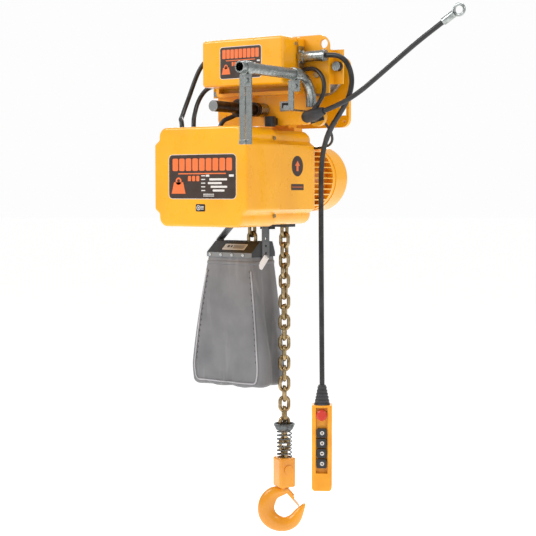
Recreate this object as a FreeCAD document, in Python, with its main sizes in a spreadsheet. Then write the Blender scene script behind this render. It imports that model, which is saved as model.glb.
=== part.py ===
import FreeCAD, Part
import math
import os
import re

import Sketcher
from FreeCAD import Placement, Rotation, Vector

# Chain hoist on a motor-driven beam trolley.
# Origin: centre of the trolley, on the wheel treads (the top of the beam's lower flange).
# X runs along the beam, -Y is the side with the control covers, Z is up.  Millimetres.

os.makedirs("parts", exist_ok=True)
doc = FreeCAD.newDocument("chain_hoist")

# ---------------------------------------------------------------------------
# Driving dimensions
# ---------------------------------------------------------------------------

SIZES = [
    # trolley frame
    ("plate_inner", 86, "beam centre to the inner face of a side plate"),
    ("plate_wall", 12, "side plate thickness"),
    ("plate_half", 150, "half length of a side plate"),
    ("plate_foot", -91, "lowest edge of the side plates"),
    ("plate_head", 96, "highest edge of the side plates"),
    ("plate_corner", 22, "corner radius of the side plates"),
    ("wheel_tread", 54, "wheel tread radius"),
    ("tread_inner", 24, "beam centre to the inner face of a wheel"),
    ("tread_width", 31, "width of a wheel tread"),
    ("flange_width", 11, "width of the wheel's flange or toothed ring"),
    ("gear_module", 2.5, "module of the travel gearing"),
    ("wheel_teeth", 48, "teeth on a driven wheel"),
    ("travel_teeth", 18, "teeth on the travel pinion"),
    ("wheel_axle", 10, "wheel axle radius"),
    ("bearing_shell", 17.5, "outer radius of a wheel bearing"),
    ("running_gap", 0.05, "radial running clearance"),
    ("shaft_drop", 50, "suspension shaft below the treads"),
    ("shaft_radius", 14, "suspension shaft radius"),
    ("shaft_near", 321.5, "near end of the suspension shaft from the beam centre"),
    ("shaft_far", 118, "far end of the suspension shaft"),
    ("spacer_radius", 18.5, "radius of the adjusting spacers"),
    ("spacer_stack", 51, "length of the spare spacers outside the near plate"),
    # mounting plate and control box
    ("panel_wall", 7, "mounting plate thickness"),
    ("panel_left", -160, "left edge of the mounting plate"),
    ("panel_right", 205, "right edge of the mounting plate"),
    ("panel_foot", -13, "lower edge of the mounting plate"),
    ("panel_head", 135, "upper edge of the mounting plate"),
    ("panel_corner", 30, "upper right corner radius"),
    ("panel_return", 23, "how far the right-hand tab is set back"),
    ("tab_reach", 27, "width of the set-back tab"),
    ("tab_low", 10, "lower edge of the tab"),
    ("tab_high", 97, "upper edge of the tab"),
    ("base_half", 131, "half length of the control box base"),
    ("base_depth", 27, "depth of the control box base"),
    ("base_head", 131, "top of the control box base"),
    ("cover_half", 127, "half length of the control box cover"),
    ("cover_foot", 8, "bottom of the control box cover"),
    ("cover_head", 129, "top of the control box cover"),
    ("cover_depth", 68, "depth of the control box cover"),
    ("cover_corner", 9, "edge radius of the control box cover"),
    ("sheet_wall", 3, "wall of the boxes and covers"),
    ("travel_motor_radius", 42, "radius of the travel motor"),
    ("travel_motor_length", 56, "length of the travel motor"),
    ("travel_shaft", 8, "travel motor shaft radius"),
    # support pipe, clamps and drop bars
    ("pipe_radius", 13.6, "outer radius of the support pipe"),
    ("pipe_wall", 2.6, "wall of the support pipe"),
    ("pipe_x", 163, "pipe centre along the beam"),
    ("pipe_z", 29.4, "pipe centre height"),
    ("pipe_leg_y", -122, "centre of the pipe's downward leg"),
    ("pipe_bend", 66, "centre-line radius of the pipe's elbow"),
    ("pipe_near", -436, "open end of the pipe"),
    ("pipe_low", -48, "lower end of the pipe's leg"),
    ("clamp_front", -406, "centre of the front clamp"),
    ("clamp_back", -196, "centre of the rear clamp"),
    ("clamp_width", 26, "clamp band width and ear plate size"),
    ("clamp_wall", 2.5, "clamp band thickness"),
    ("bar_low", -152, "lower end of the drop bars"),
    ("bar_width", 15, "drop bar width"),
    ("bar_gap", 4, "gap between the two drop bars"),
    ("bar_wall", 4, "drop bar and ear plate thickness"),
    ("foot_z", -60, "underside of the rear bar's foot"),
    # supply gland and cable entries
    ("gland_radius", 15.5, "radius of the supply gland's rubber boot"),
    ("gland_y", -140, "supply gland across the beam"),
    ("gland_x", 163, "closed end of the supply gland"),
    ("gland_z", -74, "height of the supply gland's closed end"),
    ("gland_length", 51, "length of the supply gland"),
    ("gland_rise", 15, "tilt of the supply gland, degrees"),
    ("supply_radius", 6.25, "radius of the supply cord"),
    ("lead_radius", 5.5, "radius of the short lead"),
    ("cable_radius", 6, "radius of the cables to the hoist"),
    ("cable_entry", 10.5, "radius of the cable entries in the box"),
    ("under_entry", -38, "lower cable entry along the beam"),
    ("side_cable", 3.5, "radius of the thin cable at the side"),
    ("cable_entry_high", 95, "height of the upper cable entry"),
    ("cable_entry_low", 20, "height of the lower cable entry"),
    ("socket_y", -123, "pendant socket across the beam"),
    ("socket_z", 80, "pendant socket height"),
    ("socket_radius", 13.7, "pendant socket body radius"),
    ("socket_end", 208, "outer end of the pendant socket"),
    ("plug_z", 34, "height of the plug in the mounting plate"),
    ("stop_low", -94, "lower end of the stop under the shaft"),
    ("panel_hole", 11.5, "radius of the hole in the mounting plate"),
    ("yoke_half", 20, "half width of the suspension yoke across the beam"),
    ("yoke_radius", 30, "outer radius of the suspension yoke's eye"),
    ("spare_washer", 211, "outer washer from the beam centre"),
    # hoist body
    ("body_x", -60, "middle of the hoist body along the beam"),
    ("body_z", -226.5, "middle height of the hoist body"),
    ("body_half", 148, "half width of the hoist body"),
    ("body_high", 127.5, "half height of the hoist body"),
    ("shoulder_high", 84, "half height of the full-width band"),
    ("shoulder_step", 15, "step in from the full-width band"),
    ("body_corner", 24, "corner radius of the hoist cover"),
    ("front_y", -300, "front face of the hoist cover"),
    ("seam_y", -152, "seam between the cover and the gear case"),
    ("case_back", 38, "rear face of the gear case"),
    ("case_inset", 4, "how far the gear case stands inside the cover outline"),
    ("case_wall", 7, "gear case wall"),
    ("case_corner", 46, "radius of the gear case's rear upright edges"),
    ("motor_radius", 70, "motor housing core radius"),
    ("fin_radius", 91, "outer radius of the cooling fins"),
    ("motor_back", 204, "rear end of the motor housing"),
    ("fan_cover_radius", 93, "fan cover radius"),
    ("fan_cover_back", 275, "rear end of the fan cover"),
    # load chain and sheave
    ("chain_pitch", 28, "inside length of a chain link"),
    ("chain_wire", 9.7, "diameter of the chain wire"),
    ("chain_inside", 14, "inside width of a chain link"),
    ("sheave_pockets", 6, "pockets of the load sheave"),
    ("load_links", 29, "links on the load side"),
    ("slack_links", 9, "links on the slack side"),
    ("chain_lift", 84, "modelled hook travel"),
    ("chain_twist", 60, "total twist of the hanging chain, degrees"),
    ("hoist_module", 1.5, "module of the hoist gearing"),
    ("hoist_wheel", 54, "teeth on the hoist gears"),
    ("hoist_pinion", 18, "teeth on the hoist pinions"),
    ("gear_width", 18, "face width of the hoist gears"),
    ("rotor_shaft", 9, "rotor shaft radius"),
    # bag
    ("bag_mouth", -442, "mouth of the chain bag"),
    ("bag_floor", -804, "lowest point of the chain bag"),
    ("bag_left", -211, "left edge of the bag frame"),
    ("bag_right", -60, "right edge of the bag frame"),
    ("bag_near", -70, "front edge of the bag frame"),
    ("bag_far", 43, "rear edge of the bag frame"),
    ("bag_ridge", -400, "top of the bag frame"),
    ("bag_spread", 36, "how far the bag widens on its right side"),
    ("bag_spread_left", 58, "how far the bag widens on its left side"),
    ("frame_wall", 2.5, "bag frame sheet"),
    ("bag_wall", 2.5, "bag cloth, as a solid"),
    # hook and block
    ("limit_plate_radius", 28.5, "radius of the limit plate"),
    ("limit_plate_top", -896, "top of the limit plate"),
    ("spring_top", -913, "top of the cushion spring"),
    ("block_top", -989, "top of the hook block"),
    ("block_low", -1070, "bottom of the hook block"),
    ("block_half", 24.5, "half width of the hook block"),
    ("spring_radius", 19.9, "mean radius of the cushion spring"),
    ("spring_wire", 3.6, "diameter of the spring wire"),
    ("spring_turns", 7, "turns of the cushion spring"),
    ("shank_radius", 13, "hook shank radius"),
    ("bowl_radius", 27, "inside radius of the hook"),
    ("bowl_z", -1128, "centre height of the hook's bowl"),
    # pendant
    ("pendant_x", 184, "pendant centre along the beam"),
    ("pendant_y", -100, "pendant centre across the beam"),
    ("pendant_top", -814, "top of the pendant case"),
    ("pendant_low", -1038, "bottom of the pendant case"),
    ("pendant_half", 26, "half width of the pendant case"),
    ("pendant_depth", 20, "depth of each half of the pendant case"),
    ("pendant_turn", 30, "turn of the pendant about its cord, degrees"),
    ("boot_top", -763, "top of the pendant boot"),
    ("cord_radius", 6.5, "radius of the pendant cord"),
    ("button_pitch", 26.6, "distance between the buttons"),
    ("button_wide", 26, "button width"),
    ("button_high", 23.6, "button height"),
    ("button_travel", 4, "button travel"),
    ("stop_travel", 5, "emergency button travel"),
    ("button_cap", 7, "thickness of a button cap"),
    ("button_stem", 5, "radius of a button stem"),
    ("channel_depth", 9, "depth of the button channel"),
]

sheet = doc.addObject("Spreadsheet::Sheet", "Sizes")
for row, (alias, value, meaning) in enumerate(SIZES, 1):
    sheet.set(f"A{row}", meaning)
    sheet.set(f"B{row}", str(value))
    sheet.setAlias(f"B{row}", alias)
doc.recompute()

NAMES = {alias for alias, value, meaning in SIZES}
NODES = []


def size(alias):
    """A driving dimension as a number."""
    return float(sheet.get(alias))


def cell(rule):
    """A rule over the sheet's names, in the form that an expression takes."""
    return re.sub(r"[a-z_]+", lambda found: "Sizes." + found.group(), str(rule))


def worth(rule):
    """The value now of a rule made of the sheet's names, numbers, + - * / and brackets."""
    tokens = re.findall(r"[a-z_]+|\d+\.?\d*|[-+*/()]", str(rule))
    spot = 0

    def look():
        return tokens[spot] if spot < len(tokens) else None

    def take():
        nonlocal spot
        spot += 1
        return tokens[spot - 1]

    def atom():
        token = take()
        if token == "-":
            return -atom()
        if token == "+":
            return atom()
        if token == "(":
            inside = total()
            take()
            return inside
        return size(token) if token in NAMES else float(token)

    def product():
        result = atom()
        while look() in ("*", "/"):
            result = result * atom() if take() == "*" else result / atom()
        return result

    def total():
        result = product()
        while look() in ("+", "-"):
            result = result + product() if take() == "+" else result - product()
        return result

    return total()


def bind(thing, rules):
    """Tie properties of an object to rules over the sheet."""
    for path, rule in rules.items():
        thing.setExpression(path, cell(rule))


def node(thing, name):
    """Keep an object as a sub-part of the hoist under its own name."""
    thing.Label = name
    NODES.append(thing)
    return thing


# ---------------------------------------------------------------------------
# Bound primitives
# ---------------------------------------------------------------------------

TURN = {
    "X": Rotation(Vector(0, 0, 1), Vector(1, 0, 0)),
    "Y": Rotation(Vector(0, 0, 1), Vector(0, 1, 0)),
    "Z": Rotation(),
}


def block(x0, x1, y0, y1, z0, z1):
    """A bound box between two corners."""
    box = doc.addObject("Part::Box", "block")
    bind(box, {
        "Length": f"({x1}) - ({x0})", "Width": f"({y1}) - ({y0})", "Height": f"({z1}) - ({z0})",
        "Placement.Base.x": x0, "Placement.Base.y": y0, "Placement.Base.z": z0,
    })
    return box


def rod(axis, radius, start, end, first, second):
    """A bound cylinder along an axis; first and second are its other two coordinates."""
    solid = doc.addObject("Part::Cylinder", "rod")
    solid.Placement = Placement(Vector(), TURN[axis])
    spots = {"X": (start, first, second), "Y": (first, start, second), "Z": (first, second, start)}
    x, y, z = spots[axis]
    bind(solid, {
        "Radius": radius, "Height": f"({end}) - ({start})",
        "Placement.Base.x": x, "Placement.Base.y": y, "Placement.Base.z": z,
    })
    return solid


def cone(axis, start_radius, end_radius, start, end, first, second):
    """A bound cone along an axis."""
    solid = doc.addObject("Part::Cone", "cone")
    solid.Placement = Placement(Vector(), TURN[axis])
    spots = {"X": (start, first, second), "Y": (first, start, second), "Z": (first, second, start)}
    x, y, z = spots[axis]
    bind(solid, {
        "Radius1": start_radius, "Radius2": end_radius, "Height": f"({end}) - ({start})",
        "Placement.Base.x": x, "Placement.Base.y": y, "Placement.Base.z": z,
    })
    return solid


def fuse(*parts):
    """One solid from several."""
    result = doc.addObject("Part::MultiFuse", "fuse")
    result.Shapes = list(parts)
    result.Refine = True
    return result


def cut(base, *tools):
    """A solid with others taken away."""
    result = doc.addObject("Part::Cut", "cut")
    result.Base = base
    result.Tool = tools[0] if len(tools) == 1 else fuse(*tools)
    return result


def group(*parts):
    """Separate solids that share one node."""
    result = doc.addObject("Part::Compound", "group")
    result.Links = list(parts)
    return result


def ring(axis, outer, inner, start, end, first, second):
    """A bound tube or washer."""
    hole = rod(axis, inner, f"{start} - 1", f"{end} + 1", first, second)
    return cut(rod(axis, outer, start, end, first, second), hole)


def soften(base, radius, test):
    """Round the edges of a solid that pass a test."""
    doc.recompute()
    result = doc.addObject("Part::Fillet", "soften")
    result.Base = base
    picked = [i for i, edge in enumerate(base.Shape.Edges, 1) if test(edge)]
    result.Edges = [(i, worth(radius), worth(radius)) for i in picked]
    return result


def shaped(shape, place=None):
    """A free shape as an object of the document."""
    feature = doc.addObject("Part::Feature", "shaped")
    feature.Shape = shape
    if place is not None:
        feature.Placement = place
    return feature


def along(edge, axis):
    """True where an edge is straight and runs along an axis."""
    if not isinstance(edge.Curve, Part.Line):
        return False
    return abs(edge.Curve.Direction.dot(axis)) > 0.999


X_AXIS, Y_AXIS, Z_AXIS = Vector(1, 0, 0), Vector(0, 1, 0), Vector(0, 0, 1)


# ---------------------------------------------------------------------------
# PartDesign bodies
# ---------------------------------------------------------------------------

def new_body():
    return doc.addObject("PartDesign::Body", "body")


def sketch_on(body, role, offset="0"):
    """An empty sketch on one of a body's own planes, moved along the plane's normal."""
    sketch = body.newObject("Sketcher::SketchObject", "sketch")
    plane = [part for part in body.Origin.OriginFeatures if part.Role == role][0]
    sketch.AttachmentSupport = [(plane, "")]
    sketch.MapMode = "FlatFace"
    bind(sketch, {"AttachmentOffset.Base.z": offset})
    return sketch


def draw(sketch, corners):
    """Draw a closed outline through corners, each held at its own pair of rules."""
    first = sketch.GeometryCount
    count = len(corners)
    spots = [Vector(worth(a), worth(b), 0) for a, b in corners]
    for i in range(count):
        sketch.addGeometry(Part.LineSegment(spots[i], spots[(i + 1) % count]), False)
    for i in range(count):
        nxt = first + (i + 1) % count
        sketch.addConstraint(Sketcher.Constraint("Coincident", first + i, 2, nxt, 1))
    for i, (a, b) in enumerate(corners):
        for kind, rule in (("DistanceX", a), ("DistanceY", b)):
            index = sketch.addConstraint(
                Sketcher.Constraint(kind, -1, 1, first + i, 1, worth(rule)))
            sketch.setExpression(f"Constraints[{index}]", cell(rule))


def dot(sketch, radius, across, up):
    """Draw a circle held at a pair of rules."""
    centre = Vector(worth(across), worth(up), 0)
    index = sketch.addGeometry(Part.Circle(centre, Z_AXIS, worth(radius)), False)
    for kind, rule in (("DistanceX", across), ("DistanceY", up)):
        held = sketch.addConstraint(Sketcher.Constraint(kind, -1, 1, index, 3, worth(rule)))
        sketch.setExpression(f"Constraints[{held}]", cell(rule))
    held = sketch.addConstraint(Sketcher.Constraint("Radius", index, worth(radius)))
    sketch.setExpression(f"Constraints[{held}]", cell(radius))


def pad(body, sketch, length):
    """Extrude a sketch along its normal."""
    feature = body.newObject("PartDesign::Pad", "pad")
    feature.Profile = sketch
    bind(feature, {"Length": length})
    body.Tip = feature
    return feature


def pocket(body, sketch, length, backward=False):
    """Cut a sketch into the body; the body has to lose volume."""
    doc.recompute()
    before = body.Shape.Volume
    feature = body.newObject("PartDesign::Pocket", "pocket")
    feature.Profile = sketch
    feature.Reversed = backward
    bind(feature, {"Length": length})
    body.Tip = feature
    doc.recompute()
    if body.Shape.Volume > before - 1:
        raise RuntimeError("a pocket cuts nothing")
    return feature


def round_body(body, radius, test):
    """Round the body's edges that pass a test."""
    doc.recompute()
    tip = body.Tip
    names = [f"Edge{i}" for i, edge in enumerate(tip.Shape.Edges, 1) if test(edge)]
    feature = body.newObject("PartDesign::Fillet", "round")
    feature.Base = (tip, names)
    bind(feature, {"Radius": radius})
    body.Tip = feature
    doc.recompute()
    if "Invalid" in feature.State:
        raise RuntimeError(f"a rounding of {radius} fails on {names}")
    return feature


def rectangle(x0, x1, y0, y1):
    return [(x0, y0), (x1, y0), (x1, y1), (x0, y1)]


# ---------------------------------------------------------------------------
# Gears, chain and cords
# ---------------------------------------------------------------------------

PRESSURE = math.radians(20)
BACKLASH = 0.12


def gear_face(teeth, module, phase):
    """A spur gear's outline with involute flanks, tooth 0 centred at phase (radians)."""
    pitch = teeth * module / 2
    base = pitch * math.cos(PRESSURE)
    tip, root = pitch + 0.95 * module, pitch - 1.2 * module
    flank_steps = 4

    def half_angle(radius):
        angle = math.acos(min(1.0, base / max(radius, base)))
        inner = math.tan(PRESSURE) - PRESSURE - (math.tan(angle) - angle)
        return math.pi / (2 * teeth) - BACKLASH * module / (2 * pitch) + inner

    low = max(base, root)
    radii = [low + (tip - low) * i / flank_steps for i in range(flank_steps + 1)]
    if root < base:
        radii = [root] + radii
    points = []
    for tooth in range(int(teeth)):
        middle = phase + 2 * math.pi * tooth / teeth
        for radius, side in [(r, -1) for r in radii] + [(r, 1) for r in reversed(radii)]:
            angle = middle + side * half_angle(radius)
            points.append(Vector(radius * math.cos(angle), radius * math.sin(angle), 0))
    return Part.Face(Part.makePolygon(points + points[:1]))


def gear_solid(teeth, module, phase, width, x, y, z):
    """A gear whose axis runs along Y; it starts at y and is width thick."""
    solid = gear_face(teeth, module, phase).extrude(Vector(0, 0, width))
    solid.rotate(Vector(), X_AXIS, 90)
    solid.translate(Vector(x, y + width, z))
    return solid


def y_rod(radius, y0, y1, x, z):
    return Part.makeCylinder(radius, y1 - y0, Vector(x, y0, z), Y_AXIS)


def link_solid(centre, turn):
    """One chain link, upright, turned about its own vertical axis."""
    wire, pitch = size("chain_wire"), size("chain_pitch")
    bend = (size("chain_inside") + size("chain_wire")) / 2
    straight = pitch / 2 - size("chain_inside") / 2
    top, bottom = Vector(0, 0, straight), Vector(0, 0, -straight)
    path = Part.Wire([
        Part.LineSegment(Vector(bend, 0, -straight), Vector(bend, 0, straight)).toShape(),
        Part.Arc(Vector(bend, 0, straight), top + Vector(0, 0, bend), Vector(-bend, 0, straight)).toShape(),
        Part.LineSegment(Vector(-bend, 0, straight), Vector(-bend, 0, -straight)).toShape(),
        Part.Arc(Vector(-bend, 0, -straight), bottom - Vector(0, 0, bend),
                 Vector(bend, 0, -straight)).toShape(),
    ])
    section = Part.Wire([Part.makeCircle(wire / 2, Vector(bend, 0, -straight), Z_AXIS)])
    solid = path.makePipeShell([section], True, False)
    solid.rotate(Vector(), Z_AXIS, turn)
    solid.translate(centre)
    return solid


def route_wire(points):
    """Straight runs joined by the largest tangent arcs; returns the wire and the radii."""
    edges, radii, start = [], [], points[0]
    for before, corner, after in zip(points, points[1:], points[2:]):
        arriving, leaving = corner - before, after - corner
        turn = arriving.getAngle(leaving)
        reach = 0.45 * min(arriving.Length, leaving.Length)
        radius = reach / math.tan(turn / 2)
        arriving.normalize()
        leaving.normalize()
        enter, leave = corner - arriving * reach, corner + leaving * reach
        inward = (leaving - arriving).normalize()
        middle = corner + inward * (radius / math.cos(turn / 2) - radius)
        edges.append(Part.LineSegment(start, enter).toShape())
        edges.append(Part.Arc(enter, middle, leave).toShape())
        radii.append(radius)
        start = leave
    edges.append(Part.LineSegment(start, points[-1]).toShape())
    return Part.Wire(edges), radii


def cord(name, route, radius):
    """A cord's tube along its route, with its volume compared to section times length."""
    points = [Vector(*point) for point in route]
    wire, radii = route_wire(points)
    heading = points[1] - points[0]
    section = Part.Wire([Part.makeCircle(radius, points[0], heading)])
    tube = wire.makePipeShell([section], True, False)
    expected = math.pi * radius ** 2 * wire.Length
    if abs(tube.Volume - expected) > 0.01 * expected:
        raise RuntimeError(f"{name}: the tube's volume is off")
    print(f"{name}: length {wire.Length:.0f} mm, tightest radius {min(radii):.0f} mm,"
          f" radii {[round(r) for r in radii]}")
    return node(shaped(tube), name)


# ---------------------------------------------------------------------------
# Trolley frame, wheels and suspension shaft
# ---------------------------------------------------------------------------

PLATE_OUTER = "(plate_inner + plate_wall)"
WHEEL_X = "((wheel_teeth + travel_teeth) * gear_module / 2)"
SHAFT_Z = "(0 - shaft_drop)"
SHAFT_FIT = "(shaft_radius + running_gap)"
GEAR_RING = "(tread_inner + tread_width)"


def side_plate(near):
    """A side plate with its axle, pinion and shaft holes."""
    body = new_body()
    offset = PLATE_OUTER if near else "0 - plate_inner"
    outline = sketch_on(body, "XZ_Plane", f"{offset} - plate_wall")
    draw(outline, rectangle("0 - plate_half", "plate_half", "plate_foot", "plate_head"))
    pad(body, outline, "plate_wall")
    holes = sketch_on(body, "XZ_Plane", f"{offset} - plate_wall")
    dot(holes, "wheel_axle", f"0 - {WHEEL_X}", "wheel_tread")
    dot(holes, "wheel_axle", WHEEL_X, "wheel_tread")
    dot(holes, "shaft_radius", "0", SHAFT_Z)
    if near:
        dot(holes, "travel_shaft + 4", "0", "wheel_tread")
        dot(holes, "3.5", "0 - plate_half + 29", "plate_foot + 28")
    else:
        draw(holes, rectangle("plate_half - 29", "plate_half - 8", "plate_foot + 32", "plate_foot + 74"))
        dot(holes, "3.5", "plate_half - 14", "plate_foot + 16")
    pocket(body, holes, "plate_wall", True)
    corner = worth("plate_half") - 1
    round_body(body, "plate_corner",
               lambda edge: along(edge, Y_AXIS) and abs(edge.CenterOfMass.x) > corner)
    return body


node(side_plate(True), "side_plate_near")
node(side_plate(False), "side_plate_far")

# Each axle: a shouldered pin through the plate with a nut outside and a cap inside the wheel.
axles, bearings = [], []
for side in ("-", ""):
    for end in ("0 - ", ""):
        x = f"{end}{WHEEL_X}"
        low, high = ("0 - (plate_inner + plate_wall)", "0 - tread_inner") if side else (
            "tread_inner", "plate_inner + plate_wall")
        nut_low, nut_high = (f"0 - {PLATE_OUTER} - 5", f"0 - {PLATE_OUTER}") if side else (
            PLATE_OUTER, f"{PLATE_OUTER} + 9")
        collar_low, collar_high = (f"0 - plate_inner", "0 - plate_inner + 7") if side else (
            "plate_inner - 7", "plate_inner")
        axles.append(fuse(
            rod("Y", "wheel_axle", low, high, x, "wheel_tread"),
            rod("Y", "wheel_axle + 7", nut_low, nut_high, x, "wheel_tread"),
            rod("Y", "wheel_axle + 5", collar_low, collar_high, x, "wheel_tread")))
        ring_low, ring_high = ("0 - tread_inner - 36", "0 - tread_inner - 8") if side else (
            "tread_inner + 8", "tread_inner + 36")
        bearings.append(ring("Y", "bearing_shell", "wheel_axle", ring_low, ring_high, x, "wheel_tread"))
node(group(*axles, *bearings), "wheel_axles")

HALF_TOOTH = math.pi / size("wheel_teeth")


def wheel(name, side, end, geared):
    """A trolley wheel: a tread, a flange outside the beam's edge and a hub."""
    x = f"{end}{WHEEL_X}"
    spans = {
        "tread": ("tread_inner", GEAR_RING),
        "flange": (GEAR_RING, f"{GEAR_RING} + flange_width"),
        "hub": (f"{GEAR_RING} + flange_width", f"{GEAR_RING} + flange_width + 6"),
        "bore": ("tread_inner - 1", f"{GEAR_RING} + flange_width + 7"),
        "dish": ("tread_inner - 1", "tread_inner + 4"),
    }
    if side:
        spans = {key: (f"0 - ({high})", f"0 - ({low})") for key, (low, high) in spans.items()}
    parts = [
        rod("Y", "wheel_tread", *spans["tread"], x, "wheel_tread"),
        rod("Y", "bearing_shell + 8", *spans["hub"], x, "wheel_tread"),
    ]
    if geared:
        phase = HALF_TOOTH
        teeth = gear_solid(size("wheel_teeth"), size("gear_module"), phase, size("flange_width"),
                           worth(x), worth(spans["flange"][0]), size("wheel_tread"))
        parts.append(shaped(teeth))
    else:
        parts.append(rod("Y", "wheel_tread + 8", *spans["flange"], x, "wheel_tread"))
    dish = cut(
        rod("Y", "wheel_tread - 9", *spans["dish"], x, "wheel_tread"),
        rod("Y", "bearing_shell + 7", *spans["dish"], x, "wheel_tread"))
    bore = rod("Y", "bearing_shell + running_gap", *spans["bore"], x, "wheel_tread")
    return node(cut(fuse(*parts), bore, dish), name)


wheel("wheel_near_left", "-", "0 - ", True)
wheel("wheel_near_right", "-", "", True)
wheel("wheel_far_left", "", "0 - ", False)
wheel("wheel_far_right", "", "", False)

# The travel pinion sits between the two driven wheels, on the travel motor's shaft.
pinion_y = worth(f"0 - ({GEAR_RING} + flange_width)")
motor_face = worth(f"0 - ({PLATE_OUTER} + panel_wall)")
pinion_teeth = gear_solid(size("travel_teeth"), size("gear_module"), 0, size("flange_width"),
                          0, pinion_y, size("wheel_tread"))
pinion_shaft = y_rod(size("travel_shaft"), motor_face - 40, pinion_y + 1, 0, size("wheel_tread"))
node(shaped(pinion_teeth.fuse(pinion_shaft)), "travel_pinion")

node(fuse(
    rod("Y", "shaft_radius", "0 - shaft_near", "shaft_far", "0", SHAFT_Z),
    cone("Y", "shaft_radius - 1.5", "shaft_radius", "0 - shaft_near - 1.5", "0 - shaft_near", "0", SHAFT_Z),
), "suspension_shaft")


def spacer(start, end, radius="spacer_radius"):
    return ring("Y", radius, "shaft_radius", start, end, "0", SHAFT_Z)


# Spare spacers stand outside the near plate; the rest centre the yoke between the plates.
SPACER = "(spacer_stack / 6)"
spacers = [spacer(f"0 - {PLATE_OUTER} - {i + 1} * {SPACER} + 0.6", f"0 - {PLATE_OUTER} - {i} * {SPACER}")
           for i in range(6)]
spacers += [
    spacer("0 - plate_inner", "0 - plate_inner + 30"),
    spacer("0 - plate_inner + 30.5", "0 - yoke_half - 0.5"),
    spacer("yoke_half + 0.5", "plate_inner - 30.5"),
    spacer("plate_inner - 30", "plate_inner"),
    spacer(f"{PLATE_OUTER}", f"{PLATE_OUTER} + 8", "spacer_radius + 4"),
    spacer("0 - spare_washer - 4", "0 - spare_washer", "spacer_radius + 5"),
]
node(group(*spacers), "shaft_spacers")

# ---------------------------------------------------------------------------
# Mounting plate and control box
# ---------------------------------------------------------------------------

PANEL_FRONT = f"({PLATE_OUTER} + panel_wall)"


def mounting_plate():
    """The plate that carries the control box, with its set-back tab on the right."""
    body = new_body()
    outline = sketch_on(body, "XZ_Plane", PLATE_OUTER)
    draw(outline, rectangle("panel_left", "panel_right", "panel_foot", "panel_head"))
    pad(body, outline, "panel_wall")
    top, right = size("panel_head") - 1, size("panel_right") - 1
    round_body(body, "panel_corner", lambda edge: along(edge, Y_AXIS)
               and edge.CenterOfMass.x > right and edge.CenterOfMass.z > top)
    # the tab: a return flange, then a tongue parallel to the plate
    tab = sketch_on(body, "XY_Plane", "tab_low")
    draw(tab, [
        ("panel_right - panel_wall", f"0 - {PLATE_OUTER}"),
        ("panel_right", f"0 - {PLATE_OUTER}"),
        ("panel_right", f"0 - {PLATE_OUTER} + panel_return - panel_wall"),
        ("panel_right + tab_reach", f"0 - {PLATE_OUTER} + panel_return - panel_wall"),
        ("panel_right + tab_reach", f"0 - {PLATE_OUTER} + panel_return"),
        ("panel_right - panel_wall", f"0 - {PLATE_OUTER} + panel_return"),
    ])
    pad(body, tab, "tab_high - tab_low")
    holes = sketch_on(body, "XZ_Plane", PLATE_OUTER)
    dot(holes, "panel_hole", "panel_right - 15", "panel_head - 23")
    dot(holes, "travel_shaft + 4", "0", "wheel_tread")
    for end in ("0 - ", ""):
        dot(holes, "wheel_axle + 8", f"{end}{WHEEL_X}", "wheel_tread")
    pocket(body, holes, "panel_wall", True)
    return body


node(mounting_plate(), "mounting_plate")


def tray():
    """The control box base: an open tray on the mounting plate."""
    body = new_body()
    outline = sketch_on(body, "XZ_Plane", PANEL_FRONT)
    draw(outline, rectangle("0 - base_half", "base_half", "panel_foot", "base_head"))
    pad(body, outline, "base_depth")
    round_body(body, "cover_corner", lambda edge: along(edge, Y_AXIS))
    inside = sketch_on(body, "XZ_Plane", f"{PANEL_FRONT} + sheet_wall")
    draw(inside, rectangle("0 - base_half + cover_corner", "base_half - cover_corner",
                           "panel_foot + cover_corner", "base_head - cover_corner"))
    pocket(body, inside, "base_depth", True)
    holes = sketch_on(body, "XZ_Plane", PANEL_FRONT)
    dot(holes, "travel_shaft + 4", "0", "wheel_tread")
    for end in ("0 - ", ""):
        dot(holes, "wheel_axle + 8", f"{end}{WHEEL_X}", "wheel_tread")
    pocket(body, holes, "sheet_wall", True)
    # cable entries in the left end wall
    entries = sketch_on(body, "YZ_Plane", "0 - base_half")
    for height in ("cable_entry_high", "cable_entry_low"):
        dot(entries, "cable_entry", f"0 - {PANEL_FRONT} - base_depth / 2", height)
    pocket(body, entries, "cover_corner + 2", True)
    under = sketch_on(body, "XY_Plane", "panel_foot")
    dot(under, "cable_entry", "under_entry", f"0 - {PANEL_FRONT} - base_depth / 2")
    pocket(body, under, "cover_corner + 2", True)
    return body


BOX_SEAM = f"({PANEL_FRONT} + base_depth)"
node(tray(), "trolley_box_base")


def box_cover():
    """The control box cover: a deep rounded lid, open at the back."""
    body = new_body()
    outline = sketch_on(body, "XZ_Plane", BOX_SEAM)
    draw(outline, rectangle("0 - cover_half", "cover_half", "cover_foot", "cover_head"))
    pad(body, outline, "cover_depth")
    round_body(body, "cover_corner", lambda edge: along(edge, Y_AXIS))
    front = -worth(f"{BOX_SEAM} + cover_depth") + 0.5
    round_body(body, "cover_corner - 2", lambda edge: edge.CenterOfMass.y < front)
    inside = sketch_on(body, "XZ_Plane", BOX_SEAM)
    draw(inside, rectangle("0 - cover_half + sheet_wall", "cover_half - sheet_wall",
                           "cover_foot + sheet_wall", "cover_head - sheet_wall"))
    pocket(body, inside, "cover_depth - cover_corner", True)
    return body


node(box_cover(), "trolley_box_cover")

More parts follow.
